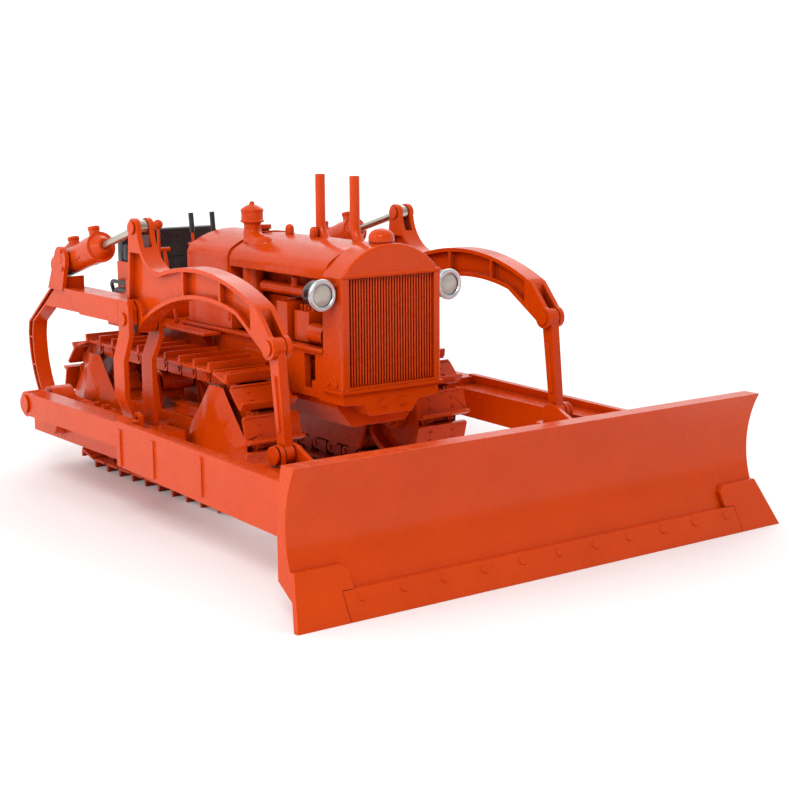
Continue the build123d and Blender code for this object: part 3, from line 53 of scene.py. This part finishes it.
# ------------------------------------------------------------------ materials


class Shader:
    """A node material under construction, with its Principled shader at hand."""

    def __init__(self, name, colour, roughness, metallic=0.0):
        self.material = bpy.data.materials.new(name)
        self.material.use_nodes = True
        self.tree = self.material.node_tree
        self.shader = self.tree.nodes["Principled BSDF"]
        self.colour = (*colour, 1.0)
        self.set("Base Color", self.colour)
        self.set("Roughness", roughness)
        self.set("Metallic", metallic)
        self.position = self.node("ShaderNodeTexCoord").outputs["Object"]

    def set(self, socket, value):
        self.shader.inputs[socket].default_value = value

    def node(self, kind, **inputs):
        made = self.tree.nodes.new(kind)
        for name, value in inputs.items():
            socket = made.inputs[name.replace("_", " ")]
            if isinstance(value, bpy.types.NodeSocket):
                self.tree.links.new(value, socket)
            else:
                socket.default_value = value
        return made

    def link(self, output, socket):
        self.tree.links.new(output, self.shader.inputs[socket])

    def noise(self, size, detail=3.0, roughness=0.5):
        """Noise whose lumps are about this many metres across."""
        made = self.node("ShaderNodeTexNoise", Vector=self.position, Scale=1.0 / size, Detail=detail,
                         Roughness=roughness)
        return made.outputs["Fac"]

    def remap(self, value, low, high, to_low, to_high):
        made = self.node("ShaderNodeMapRange", Value=value)
        for socket, number in zip(("From Min", "From Max", "To Min", "To Max"), (low, high, to_low, to_high)):
            made.inputs[socket].default_value = number
        return made.outputs["Result"]

    def mix(self, factor, first, second):
        made = self.node("ShaderNodeMix")
        made.data_type = "RGBA"
        for socket, value in ((made.inputs[0], factor), (made.inputs[6], first), (made.inputs[7], second)):
            if isinstance(value, bpy.types.NodeSocket):
                self.tree.links.new(value, socket)
            else:
                socket.default_value = value
        return made.outputs[2]

    def math(self, operation, first, second):
        made = self.tree.nodes.new("ShaderNodeMath")
        made.operation = operation
        for socket, value in ((made.inputs[0], first), (made.inputs[1], second)):
            if isinstance(value, bpy.types.NodeSocket):
                self.tree.links.new(value, socket)
            else:
                socket.default_value = value
        return made.outputs[0]

    def edges(self, radius):
        """1 on edges and corners rounder than the flat beside them, 0 elsewhere."""
        rounded = self.node("ShaderNodeBevel", Radius=radius)
        rounded.samples = 4
        plain = self.tree.nodes.new("ShaderNodeNewGeometry")
        dot = self.tree.nodes.new("ShaderNodeVectorMath")
        dot.operation = "DOT_PRODUCT"
        self.tree.links.new(rounded.outputs["Normal"], dot.inputs[0])
        self.tree.links.new(plain.outputs["Normal"], dot.inputs[1])
        return self.remap(dot.outputs["Value"], 0.99, 0.8, 0.0, 1.0)

    def cavities(self, distance):
        """1 deep in corners and slots, 0 in the open."""
        closed = self.node("ShaderNodeAmbientOcclusion", Distance=distance)
        closed.samples = 8
        return self.remap(closed.outputs["AO"], 0.75, 0.2, 0.0, 1.0)

    def bump(self, height, depth):
        made = self.node("ShaderNodeBump", Height=height, Distance=depth, Strength=1.0)
        self.link(made.outputs["Normal"], "Normal")


PATCH = 24 * MM                # size of the paint's soft mottling
PAINTED_SHADE_REACH = 12 * MM               # how far the painted shade in a corner reaches
EDGE_TINT_RADIUS = 0.35 * MM          # radius of the edges that are tinted a lighter colour
PEEL = 1.1 * MM                # size of the enamel's orange peel
CAST = 9 * MM                  # size of the casting's own waves
BUMP_DEPTH = 0.006 * MM


def paint(name, colour, shade, edge_tint, roughness, coat=0.6):
    """Gloss enamel over a casting: soft mottling, painted shade in the recesses, lighter edges."""
    look = Shader(name, colour, roughness)
    patches = look.remap(look.noise(PATCH, 1.0), 0.35, 0.65, 0.0, 0.07)
    tint = look.mix(patches, look.colour, (*shade, 1.0))
    # painted shade: corners and slots are darkened toward the shade colour, standing in for the shade that
    # falls there
    painted_recess_shade = look.math("MULTIPLY", look.cavities(PAINTED_SHADE_REACH), 0.85)
    tint = look.mix(painted_recess_shade, tint, (*shade, 1.0))
    # the edges are tinted toward a lighter colour, unevenly along them
    edges = look.edges(EDGE_TINT_RADIUS)
    uneven = look.remap(look.noise(3 * MM), 0.4, 0.65, 0.05, 0.6)
    lighter_edges = look.math("MULTIPLY", edges, uneven)
    tint = look.mix(lighter_edges, tint, (*edge_tint, 1.0))
    look.link(tint, "Base Color")
    look.link(look.remap(look.noise(5 * MM), 0.3, 0.7, roughness - 0.05, roughness + 0.09), "Roughness")
    look.set("Coat Weight", coat)
    look.set("Coat Roughness", 0.06)
    look.set("Specular IOR Level", 0.14)
    peel = look.noise(PEEL, 1.0)
    cast = look.math("MULTIPLY", look.noise(CAST, 1.0), 4.0)
    look.bump(look.math("ADD", peel, cast), BUMP_DEPTH)
    return look.material


def moulded(name, colour, roughness):
    """Black moulded plastic with a faint texture and dust in its corners."""
    look = Shader(name, colour, roughness)
    dust = look.math("MULTIPLY", look.cavities(4 * MM), 0.25)
    look.link(look.mix(dust, look.colour, (0.09, 0.08, 0.075, 1.0)), "Base Color")
    look.link(look.remap(look.noise(6 * MM), 0.3, 0.7, roughness - 0.07, roughness + 0.1), "Roughness")
    look.bump(look.noise(0.6 * MM, 2.0), 0.02 * MM)
    return look.material


def bare_metal(name, colour, roughness, grain):
    """Turned or drawn metal: fine scratches round or along it, and smudges."""
    look = Shader(name, colour, roughness, metallic=1.0)
    look.link(look.mix(look.remap(look.noise(4 * MM), 0.4, 0.7, 0.0, 0.4), look.colour,
                       tuple(0.6 * part for part in colour) + (1.0,)), "Base Color")
    look.link(look.remap(look.noise(2.5 * MM), 0.3, 0.7, roughness - 0.06, roughness + 0.1), "Roughness")
    look.bump(look.noise(grain, 2.0), 0.012 * MM)
    return look.material


def lens_glass():
    """Frosted lamp glass with a pale reflector behind it."""
    look = Shader("lamp_lens", (0.50, 0.47, 0.41), 0.22)
    look.link(look.mix(look.remap(look.noise(3 * MM), 0.35, 0.65, 0.0, 0.35), look.colour,
                       (0.36, 0.34, 0.30, 1.0)), "Base Color")
    look.set("Coat Weight", 1.0)
    look.set("Coat Roughness", 0.05)
    look.bump(look.noise(0.8 * MM, 2.0), 0.05 * MM)
    return look.material


ORANGE = (0.66, 0.056, 0.0002)
ORANGE_SHADE = (0.16, 0.004, 0.0)
ORANGE_EDGE_TINT = (0.80, 0.12, 0.02)
LOOKS = {
    "orange_paint": paint("orange_paint", ORANGE, ORANGE_SHADE, ORANGE_EDGE_TINT, 0.24, 0.16),
    "dark_core": paint("dark_core", (0.025, 0.002, 0.0005), (0.02, 0.001, 0.0), (0.10, 0.01, 0.002),
                       0.5, 0.1),
    "black_paint": paint("black_paint", (0.015, 0.013, 0.014), (0.005, 0.004, 0.004),
                         (0.05, 0.045, 0.045), 0.25),
    "lamp_chrome": bare_metal("lamp_chrome", (0.74, 0.75, 0.78), 0.36, 0.5 * MM),
    "lamp_lens": lens_glass(),
    "seat_plastic": moulded("seat_plastic", (0.014, 0.012, 0.0125), 0.24),
    "black_plastic": moulded("black_plastic", (0.022, 0.02, 0.02), 0.3),
    "hose_black": moulded("hose_black", (0.018, 0.017, 0.017), 0.42),
    "rod_steel": bare_metal("rod_steel", (0.56, 0.50, 0.42), 0.24, 0.4 * MM),
}
SLOT_OF = {entry["node"]: entry["material_slot"] for entry in frame["record"]["subparts"]}
BODY_OF = {node: body for body, nodes in frame["record"]["behaviour"]["bodies"].items() for node in nodes}

# ------------------------------------------------------------------ pieces


def finish_mesh(piece, angle=32.0):
    """Smooth shading that breaks only at real corners."""
    mesh = piece.data
    for face in mesh.polygons:
        face.use_smooth = True
    mesh.set_sharp_from_angle(angle=math.radians(angle))
    weighted = piece.modifiers.new("weighted", "WEIGHTED_NORMAL")
    weighted.keep_sharp = True


def put(mesh, name, node, slot=None):
    """A piece of the visible model that stands on a node's body."""
    piece = bpy.data.objects.new(name, mesh)
    bpy.context.scene.collection.objects.link(piece)
    look = slot or SLOT_OF[node]
    mesh.materials.clear()
    mesh.materials.append(LOOKS[look])
    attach(piece, BODY_OF[node])
    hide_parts(node)
    return piece


def piece_from(shape, name, node, slot, angle):
    """The finished piece of a hand-built bmesh, which is freed."""
    bmesh.ops.recalc_face_normals(shape, faces=shape.faces)
    mesh = bpy.data.meshes.new(name)
    shape.to_mesh(mesh)
    shape.free()
    piece = put(mesh, name, node, slot)
    finish_mesh(piece, angle)
    return piece


def skin_area(mesh):
    """A mesh's area, counted triangle by triangle."""
    mesh.calc_loop_triangles()
    return sum(triangle.area for triangle in mesh.loop_triangles)


def rounded_copy(source, name, radius, segments, corner, joined):
    """A mesh like the source's with its sharp edges rounded off; joined first merges its flat triangles."""
    shape = bmesh.new()
    shape.from_mesh(source)
    bmesh.ops.remove_doubles(shape, verts=shape.verts, dist=0.002 * MM)
    if joined:
        bmesh.ops.dissolve_limit(shape, angle_limit=math.radians(0.8), verts=shape.verts, edges=shape.edges)
    limit = math.radians(corner)
    sharp = [edge for edge in shape.edges if len(edge.link_faces) == 2 and edge.calc_face_angle() > limit]
    bmesh.ops.bevel(shape, geom=sharp, offset=radius, segments=segments, profile=0.5, affect="EDGES",
                    clamp_overlap=not joined)
    bmesh.ops.recalc_face_normals(shape, faces=shape.faces)
    mesh = bpy.data.meshes.new(name)
    shape.to_mesh(mesh)
    shape.free()
    return mesh


def softened(node, radius, segments=2, corner=28.0, suffix="cast", slot=None, chosen=None):
    """A cast copy of a CAD node with its sharp edges rounded off, or of the faces chosen by their middle."""
    source = frame["nodes"][node].data
    name = f"{node}_{suffix}"
    area = skin_area(source)
    mesh = rounded_copy(source, name, radius, segments, corner, True)
    if abs(skin_area(mesh) / area - 1) > AREA_SLACK:
        mesh = rounded_copy(source, name, radius, segments, corner, False)
    if abs(skin_area(mesh) / area - 1) > AREA_SLACK:
        mesh = source.copy()
    if chosen:
        shape = bmesh.new()
        shape.from_mesh(mesh)
        left_out = [face for face in shape.faces if not chosen(face.calc_center_median())]
        bmesh.ops.delete(shape, geom=left_out, context="FACES")
        shape.to_mesh(mesh)
        shape.free()
    piece = put(mesh, name, node, slot)
    finish_mesh(piece)
    return piece


def solid_from_loops(name, loops, node, slot=None, angle=40.0):
    """A closed skin through equal-length loops of points, capped at both ends."""
    shape = bmesh.new()
    rings = [[shape.verts.new(point) for point in loop] for loop in loops]
    count = len(loops[0])
    for first, second in zip(rings, rings[1:]):
        for place in range(count):
            after = (place + 1) % count
            shape.faces.new((first[place], first[after], second[after], second[place]))
    shape.faces.new(list(reversed(rings[0])))
    shape.faces.new(rings[-1])
    return piece_from(shape, name, node, slot, angle)


def turned(name, profile, centre, node, slot=None, steps=48, angle=40.0):
    """A body turned about a front-to-back axis: profile is (radius, distance back from the centre)."""
    loops = []
    for radius, back in profile:
        loops.append([(centre[0] + radius * math.cos(2 * math.pi * step / steps), centre[1] + back,
                       centre[2] + radius * math.sin(2 * math.pi * step / steps)) for step in range(steps)])
    return solid_from_loops(name, loops, node, slot, angle)


def arc_profile(middle, radius, start, stop, steps):
    """Points of a circle in a turned body's profile, between two angles in degrees."""
    points = []
    for step in range(steps + 1):
        turn = math.radians(start + (stop - start) * step / steps)
        points.append((middle[0] + radius * math.cos(turn), middle[1] + radius * math.sin(turn)))
    return points


def headlights():
    """Two lamps: a deep enamelled bowl, a rolled chrome rim, a dark gasket and a domed lens."""
    low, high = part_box("headlight_rims")
    radius = (high.z - low.z) / 2
    bowl_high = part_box("headlight_shells")[1]
    lens_low, lens_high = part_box("headlight_lenses")
    lens_radius = (lens_high.z - lens_low.z) / 2
    for side, label in ((1, "left"), (-1, "right")):
        centre = Vector((side * (high.x - radius), low.y, (low.z + high.z) / 2))
        depth = high.y - low.y
        rim = arc_profile((radius - 0.5 * depth, 0.5 * depth), 0.5 * depth, 90, -150, 14)
        rim += [(lens_radius - 0.2 * MM, 0.45 * depth), (lens_radius - 0.2 * MM, depth)]
        turned_ring(f"lamp_rim_{label}", rim, centre, "headlight_rims", angle=60.0)
        gasket = [(lens_radius + 0.1 * MM, 0.5 * depth), (lens_radius - 0.5 * MM, 0.42 * depth),
                  (lens_radius - 1.1 * MM, 0.5 * depth), (lens_radius - 1.1 * MM, depth),
                  (lens_radius, depth)]
        turned_ring(f"lamp_gasket_{label}", gasket, centre, "headlight_lenses", "black_plastic")
        dome = [(0.02 * MM, 0.30 * depth)]
        for step in range(1, 9):
            share = step / 8
            dome.append((share * (lens_radius - 1.0 * MM), depth * (0.30 + 0.25 * share * share)))
        dome.append((lens_radius - 1.0 * MM, depth * 0.95))
        dome.append((0.02 * MM, depth * 0.95))
        turned(f"lamp_lens_{label}", dome, centre, "headlight_lenses", steps=48, angle=50.0)
        back = bowl_high.y - low.y
        outer = radius - 0.55 * MM
        bowl = [(outer, 0.9 * depth)]
        for step in range(13):
            turn = math.radians(90 * step / 12)
            bowl.append((0.02 * MM + (outer - 0.3 * MM) * math.cos(turn) ** 0.8,
                         back * (0.45 + 0.55 * math.sin(turn))))
        turned(f"lamp_bowl_{label}", bowl, centre, "headlight_shells", angle=60.0)


def turned_ring(name, profile, centre, node, slot=None, steps=64, angle=40.0):
    """A closed ring turned about a front-to-back axis: profile is a closed outline."""
    shape = bmesh.new()
    rings = []
    for step in range(steps):
        turn = 2 * math.pi * step / steps
        rings.append([shape.verts.new((centre[0] + radius * math.cos(turn), centre[1] + back,
                                       centre[2] + radius * math.sin(turn))) for radius, back in profile])
    count = len(profile)
    for place, first in enumerate(rings):
        second = rings[(place + 1) % steps]
        for corner in range(count):
            after = (corner + 1) % count
            shape.faces.new((first[corner], first[after], second[after], second[corner]))
    return piece_from(shape, name, node, slot, angle)


def ribbed(place, start, width, depth):
    """How far a channelled skin sinks between its ribs at a place along it."""
    phase = (place - start) / width
    return depth * (1 - abs(math.sin(math.pi * phase)) ** 0.6)


def rounded_box(low, high, radius, steps=4):
    """A loop of points round a rounded rectangle, as (first, second) pairs."""
    loop = []
    corners = ((high[0] - radius, high[1] - radius, 0), (low[0] + radius, high[1] - radius, 90),
               (low[0] + radius, low[1] + radius, 180), (high[0] - radius, low[1] + radius, 270))
    for first, second, start in corners:
        for step in range(steps + 1):
            turn = math.radians(start + 90 * step / steps)
            loop.append((first + radius * math.cos(turn), second + radius * math.sin(turn)))
    return loop


def seat():
    """Moulded bench seat: rolled back rest, side wings with upright channels, channelled cushion."""
    low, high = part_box("seat")
    box_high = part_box("seat_box")[1]
    half = high.x
    back = high.y
    front = low.y
    clip_z = high.z - 7.5 * MM
    clip_x = half - 6 * MM
    back_front = back - 6.8 * MM
    # back rest: an outline with clipped corners, swept through its thickness with a rounded edge
    foot = box_high.z + 0.2 * MM
    outline = [(-half, foot), (half, foot), (half, clip_z), (clip_x, high.z), (-clip_x, high.z),
               (-half, clip_z)]
    edge_rolls = ((0.0, 1.3), (0.06, 0.6), (0.18, 0.12), (0.3, 0.0), (0.75, 0.0), (0.9, 0.3), (1.0, 1.2))
    loops = []
    for share, inset in edge_rolls:
        loop = inset_outline(outline, inset * MM)
        loops.append([(x, back_front + share * (back - back_front), z) for x, z in loop])
    solid_from_loops("seat_back", loops, "seat")
    wings(low, box_high.z, back_front, half)
    cushion_loops = []
    steps = 60
    in_half = half - 6.4 * MM
    top = low.z + 10 * MM
    for step in range(steps + 1):
        x = -in_half + 2 * in_half * step / steps
        sink = ribbed(x, -in_half, 2 * in_half / 7, 1.1 * MM)
        edge = 0.9 * MM if step in (0, steps) else 0.0
        loop = rounded_box((front + edge, low.z), (back_front + 0.2 * MM, top - sink - edge), 2.2 * MM)
        cushion_loops.append([(x, y, z) for y, z in loop])
    solid_from_loops("seat_cushion", cushion_loops, "seat")
    # the lower back pad inside the box
    pad = rounded_box((-in_half, low.z), (in_half, box_high.z + 1 * MM), 1.5 * MM)
    solid_from_loops("seat_back_pad", [[(x, y, z) for x, z in pad] for y in
                                       (back_front - 1.2 * MM, box_high.y - 2.8 * MM)], "seat")


def inset_outline(outline, distance):
    """A convex outline moved inwards by a distance."""
    moved = []
    count = len(outline)
    for place in range(count):
        before = Vector(outline[place - 1])
        here = Vector(outline[place])
        after = Vector(outline[(place + 1) % count])
        first = (here - before).normalized()
        second = (after - here).normalized()
        inward = (Vector((-first.y, first.x)) + Vector((-second.y, second.x))).normalized()
        spread = max(0.3, inward.dot(Vector((-first.y, first.x))))
        moved.append(tuple(here + inward * (distance / spread)))
    return moved


WING_FRONT = 121 * MM          # height of a wing's front end
WING_RISE = 5.5 * MM           # rise along its long front slope
WING_LAST_RISE = 1.5 * MM      # rise from the bend to the back rest
WING_BEND = 0.7                # where the bend is, as a share of its length


def wings(low, foot, back_front, half):
    """The seat's side wings: upright channels outside, sloping down to the front."""
    start = low.y + 12.4 * MM
    run = back_front - start
    steps = 64
    for side, label in ((1, "left"), (-1, "right")):
        loops = []
        for step in range(steps + 1):
            share = step / steps
            y = start + share * run
            top = (WING_FRONT + WING_RISE * min(1.0, share / WING_BEND)
                   + WING_LAST_RISE * max(0.0, (share - WING_BEND) / (1 - WING_BEND)))
            sink = ribbed(y, start, run / 4, 1.2 * MM)
            nose = 1.6 * MM * max(0.0, 1 - share / 0.06) ** 2
            outer = half - sink - nose
            inner = half - 5.6 * MM + nose
            loop = rounded_box((inner, foot + 0.2 * MM), (outer, top - nose - 0.3 * sink), 1.6 * MM)
            points = [(side * x, y, z) for x, z in loop]
            loops.append(points if side > 0 else list(reversed(points)))
        solid_from_loops(f"seat_wing_{label}", loops, "seat")


def tube(name, run, node, steps=32, angle=40.0):
    """A round skin along a run of (point, radius) stations in one upright front-to-back plane."""
    loops = []
    count = len(run)
    heading = Vector((0, 0, -1))
    for place, (point, radius) in enumerate(run):
        before = Vector(run[max(place - 1, 0)][0])
        after = Vector(run[min(place + 1, count - 1)][0])
        if (after - before).length > 0.01 * MM and place > 2:
            heading = (after - before).normalized()
        across = Vector((1, 0, 0))
        up = heading.cross(across)
        loops.append([Vector(point) + across * (radius * math.cos(2 * math.pi * step / steps))
                      + up * (radius * math.sin(2 * math.pi * step / steps)) for step in range(steps)])
    return solid_from_loops(name, loops, node, angle=angle)


STACK_X = 4.0 * MM
STACK_PLACES = ((9.5 * MM, "rear"), (-22.5 * MM, "front"))
STACK_R = 2.65 * MM
STACK_WALL = 0.7 * MM
STACK_BEND = 11.5 * MM         # height of the bend above the pipe's foot
STACK_REACH = 8.0 * MM         # how far the bend runs forward
STACK_SINK = 0.5 * MM          # how far the foot goes into the hood
BEND_ANGLE = 62
FLARE = 0.12                   # how much wider the foot is, as a share of the radius


def bent(x, y, top, bend, foot_back, foot, wall, radius):
    """Stations of an open-topped upright pipe that bends forward into the hood."""
    run = [((x, y, top - 8 * MM), radius - wall), ((x, y, top), radius - wall), ((x, y, top), radius)]
    run += [((x, y, top - (top - bend) * step / 4), radius) for step in range(1, 5)]
    drop = bend - foot
    whole = math.radians(BEND_ANGLE)
    for step in range(1, 13):
        turn = whole * step / 12
        share_back = (1 - math.cos(turn)) / (1 - math.cos(whole))
        share_drop = math.sin(turn) / math.sin(whole)
        run.append(((x, y - foot_back * share_back, bend - drop * share_drop),
                    radius * (1 + FLARE * step / 12)))
    return run


def stacks():
    """Two plain exhaust pipes, each bent forward at its foot."""
    low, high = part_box("exhaust_stacks")
    for y, label in STACK_PLACES:
        run = bent(STACK_X, y, high.z, low.z + STACK_BEND, STACK_REACH, low.z - STACK_SINK, STACK_WALL,
                   STACK_R)
        tube(f"exhaust_stack_{label}", run, "exhaust_stacks", angle=50.0)


def turned_up(name, profile, centre, node, slot=None, steps=48, angle=40.0):
    """A body turned about an upright axis: profile is (radius, height) from the bottom up."""
    loops = [[(centre[0] + radius * math.cos(2 * math.pi * step / steps),
               centre[1] + radius * math.sin(2 * math.pi * step / steps), height) for step in range(steps)]
             for radius, height in profile]
    return solid_from_loops(name, loops, node, slot, angle)


def precleaner():
    """Intake precleaner: a jar with a rolled rim and a domed, knobbed lid on a boot."""
    low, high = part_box("precleaner")
    centre = ((low.x + high.x) / 2, (low.y + high.y) / 2)
    foot = low.z
    jar = [(5.2, -0.5), (5.2, 1.6), (4.9, 2.3), (4.6, 2.9), (4.5, 5.0), (4.6, 9.6), (5.0, 10.6),
           (6.2, 10.9), (6.6, 11.3), (6.6, 11.8), (6.2, 12.1), (6.0, 12.4), (6.0, 16.4), (6.2, 16.8),
           (6.4, 17.2), (6.3, 17.8), (5.8, 18.3), (4.6, 19.2), (3.0, 20.0), (1.7, 20.5), (1.4, 20.8),
           (1.35, 21.6), (1.1, 22.0), (0.5, 22.3), (0.02, 22.3)]
    profile = [(radius * MM, foot + rise * MM) for radius, rise in jar]
    turned_up("precleaner_jar", profile, centre, "precleaner")
    reach, drop, narrow, wide, nose = 12 * MM, 6.6 * MM, 5.0 * MM, 5.9 * MM, 6.5 * MM
    boot = [((*centre, foot + 7.4 * MM), 3.6 * MM), ((*centre, foot + 7 * MM), 4.6 * MM),
            ((*centre, foot + 6.6 * MM), narrow)]
    for step in range(1, 13):
        turn = math.radians(90 * step / 12)
        y = centre[1] - reach * (1 - math.cos(turn))
        boot.append(((centre[0], y, foot + 5.6 * MM - drop * math.sin(turn)),
                     narrow + (wide - narrow) * step / 12))
    for step in range(1, 9):
        turn = math.radians(90 * step / 8)
        y = centre[1] - reach - nose * math.sin(turn)
        boot.append(((centre[0], y, foot - 1.0 * MM - 0.25 * MM * step),
                     max(wide * math.cos(turn), 0.05 * MM)))
    tube("precleaner_boot", boot, "precleaner", angle=50.0)


def filler_caps():
    """A domed radiator cap; the smaller caps along the hood keep their cast shape."""
    low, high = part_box("filler_caps")
    radius = 6.6 * MM
    rise = 4.6 * MM
    centre = (0.0, low.y + radius)
    brim = high.z - rise
    profile = [(radius - 0.5 * MM, low.z), (radius - 0.5 * MM, brim - 2.6 * MM), (radius, brim - 2.1 * MM)]
    for step in range(12):
        turn = math.radians(90 * step / 11)
        profile.append((max(radius * math.cos(turn), 0.02 * MM), brim + rise * math.sin(turn)))
    turned_up("radiator_cap", profile, centre, "filler_caps")
    softened("filler_caps", 0.28 * MM, chosen=lambda spot: spot.y > low.y + 20 * MM)


def grille():
    """Upright half-round bars with open slots between them, on a top and a bottom rail."""
    low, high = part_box("radiator_grille")
    bars = 31
    pitch = (high.x - low.x) / bars
    half = 0.29 * pitch
    nose = low.y + 0.35 * MM
    section = [(half, high.y), (half, nose + half)]
    section += [(half * math.cos(math.radians(turn)), nose + half - half * math.sin(math.radians(turn)))
                for turn in (30, 60, 90, 120, 150)]
    section += [(-half, nose + half), (-half, high.y)]
    shape = bmesh.new()
    for index in range(bars):
        middle = low.x + pitch * (index + 0.5)
        ends = [[shape.verts.new((middle + dx, y, z)) for dx, y in section] for z in (low.z, high.z)]
        count = len(section)
        for place in range(count):
            after = (place + 1) % count
            shape.faces.new((ends[0][place], ends[0][after], ends[1][after], ends[1][place]))
        shape.faces.new(ends[0])
        shape.faces.new(ends[1])
    piece_from(shape, "grille_bars", "radiator_grille", None, 40.0)
    for z, label in ((low.z + 0.6 * MM, "bottom"), (high.z - 0.6 * MM, "top")):
        loop = rounded_box((high.y - 1.0 * MM, z - 0.6 * MM), (high.y, z + 0.6 * MM), 0.25 * MM)
        ends = [[(x, y, height) for y, height in loop] for x in (low.x, high.x)]
        solid_from_loops(f"grille_rail_{label}", ends, "radiator_grille")


def rods():
    """Drawn steel piston rods, with painted heads on the pins in their eyes."""
    for node in ("rod_left", "rod_right"):
        low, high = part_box(node)
        middle = (low.x + high.x) / 2
        reach = (high.x - low.x) / 2 - 1.3 * MM
        softened(node, 0.2 * MM, suffix="steel", corner=45.0,
                 chosen=lambda spot, middle=middle, reach=reach: abs(spot.x - middle) < reach)
        softened(node, 0.3 * MM, suffix="pin_heads", slot="orange_paint", corner=45.0,
                 chosen=lambda spot, middle=middle, reach=reach: abs(spot.x - middle) >= reach)


SOFT = {"track_chains": 0.18, "track_shoes": 0.2, "lever_grips": 0.3}
CORNER = {"hydraulic_hoses": 60.0, "control_levers": 50.0}
KEPT = {"radiator_core"}
REBUILT = {"headlight_shells", "headlight_rims", "headlight_lenses", "seat", "exhaust_stacks", "precleaner",
           "filler_caps", "radiator_grille", "rod_left", "rod_right"}
for node in frame["nodes"]:
    if node not in KEPT | REBUILT:
        softened(node, SOFT.get(node, 0.28) * MM, corner=CORNER.get(node, 28.0))
headlights()
seat()
stacks()
precleaner()
filler_caps()
grille()
rods()

for node, piece in frame["nodes"].items():
    piece.data.materials.clear()
    piece.data.materials.append(LOOKS[SLOT_OF[node]])

# ------------------------------------------------------------------ stage, light and camera
CAMERA_AT = Vector((-489.1, -729.4, 213.3)) * MM
LOOK_AT = Vector((80.4, 42.5, 37.0)) * MM
ROLL = math.radians(-0.38)
LENS = 74.3


FLOOR_HALF = 12.0              # half the floor's width
GLOW_NEAR, GLOW_FAR = 0.12, 0.5
GLOW_START, GLOW_END = 0.2, 1.4
SEEN_FROM = (-0.35, -0.93, 0.1)
ROOM_BACK, ROOM_FRONT = 1.05, 0.3


def stage_material():
    look = Shader("studio_floor", (0.86, 0.86, 0.86), 0.7)
    look.link(look.mix(look.remap(look.noise(0.4), 0.3, 0.7, 0.0, 0.1), look.colour, (0.84, 0.84, 0.84, 1.0)),
              "Base Color")
    look.set("Emission Color", (1.0, 1.0, 1.0, 1.0))
    # the far floor glows up to the white of the room; near the model it takes the shadow
    reach = look.node("ShaderNodeVectorMath")
    reach.operation = "LENGTH"
    look.tree.links.new(look.position, reach.inputs[0])
    look.link(look.remap(reach.outputs["Value"], GLOW_START, GLOW_END, GLOW_NEAR, GLOW_FAR),
              "Emission Strength")
    return look.material


def build_stage():
    mesh = bpy.data.meshes.new("studio_floor")
    half = FLOOR_HALF
    corners = [(-half, -half, 0), (half, -half, 0), (half, half, 0), (-half, half, 0)]
    mesh.from_pydata(corners, [], [(0, 1, 2, 3)])
    floor = bpy.data.objects.new("studio_floor", mesh)
    bpy.context.scene.collection.objects.link(floor)
    mesh.materials.append(stage_material())
    world = bpy.data.worlds.new("studio")
    bpy.context.scene.world = world
    world.use_nodes = True
    background = world.node_tree.nodes["Background"]
    background.inputs["Color"].default_value = (1.0, 1.0, 1.0, 1.0)
    # the room is white behind the model and dimmer on the side it is seen from
    tree = world.node_tree
    heading = tree.nodes.new("ShaderNodeTexCoord").outputs["Generated"]
    towards = tree.nodes.new("ShaderNodeVectorMath")
    towards.operation = "DOT_PRODUCT"
    tree.links.new(heading, towards.inputs[0])
    towards.inputs[1].default_value = SEEN_FROM
    fade = tree.nodes.new("ShaderNodeMapRange")
    fade.interpolation_type = "SMOOTHSTEP"
    tree.links.new(towards.outputs["Value"], fade.inputs["Value"])
    fade.inputs["From Min"].default_value = -0.2
    fade.inputs["From Max"].default_value = 0.8
    fade.inputs["To Min"].default_value = ROOM_BACK
    fade.inputs["To Max"].default_value = ROOM_FRONT
    tree.links.new(fade.outputs["Result"], background.inputs["Strength"])
    bpy.context.scene.view_settings.view_transform = "Standard"


def softbox(name, place, aim, size, power):
    lamp = bpy.data.lights.new(name, "AREA")
    lamp.shape = "RECTANGLE"
    lamp.size, lamp.size_y = size
    lamp.energy = power
    rig = bpy.data.objects.new(name, lamp)
    rig.location = place
    rig.rotation_euler = (Vector(aim) - Vector(place)).to_track_quat("-Z", "Y").to_euler()
    bpy.context.scene.collection.objects.link(rig)


def build_camera():
    forward = (LOOK_AT - CAMERA_AT).normalized()
    level = forward.cross(Vector((0, 0, 1))).normalized()
    up = level.cross(forward)
    right = level * math.cos(ROLL) + up * math.sin(ROLL)
    up = up * math.cos(ROLL) - level * math.sin(ROLL)
    camera = bpy.data.cameras.new("photo_camera")
    camera.lens = LENS
    camera.sensor_width = 36.0
    rig = bpy.data.objects.new("photo_camera", camera)
    turn = Matrix((right, up, -forward)).transposed().to_4x4()
    rig.matrix_world = Matrix.Translation(CAMERA_AT) @ turn
    bpy.context.scene.collection.objects.link(rig)
    bpy.context.scene.camera = rig


build_stage()
softbox("key", (-0.75, -0.75, 1.0), (0, 0, 0.08), (0.6, 0.6), 9.5)
softbox("side", (-1.2, 0.1, 0.4), (0, 0, 0.08), (0.6, 0.4), 2.2)
softbox("back", (0.9, 0.9, 1.0), (0, 0, 0.1), (1.0, 0.6), 3)
build_camera()
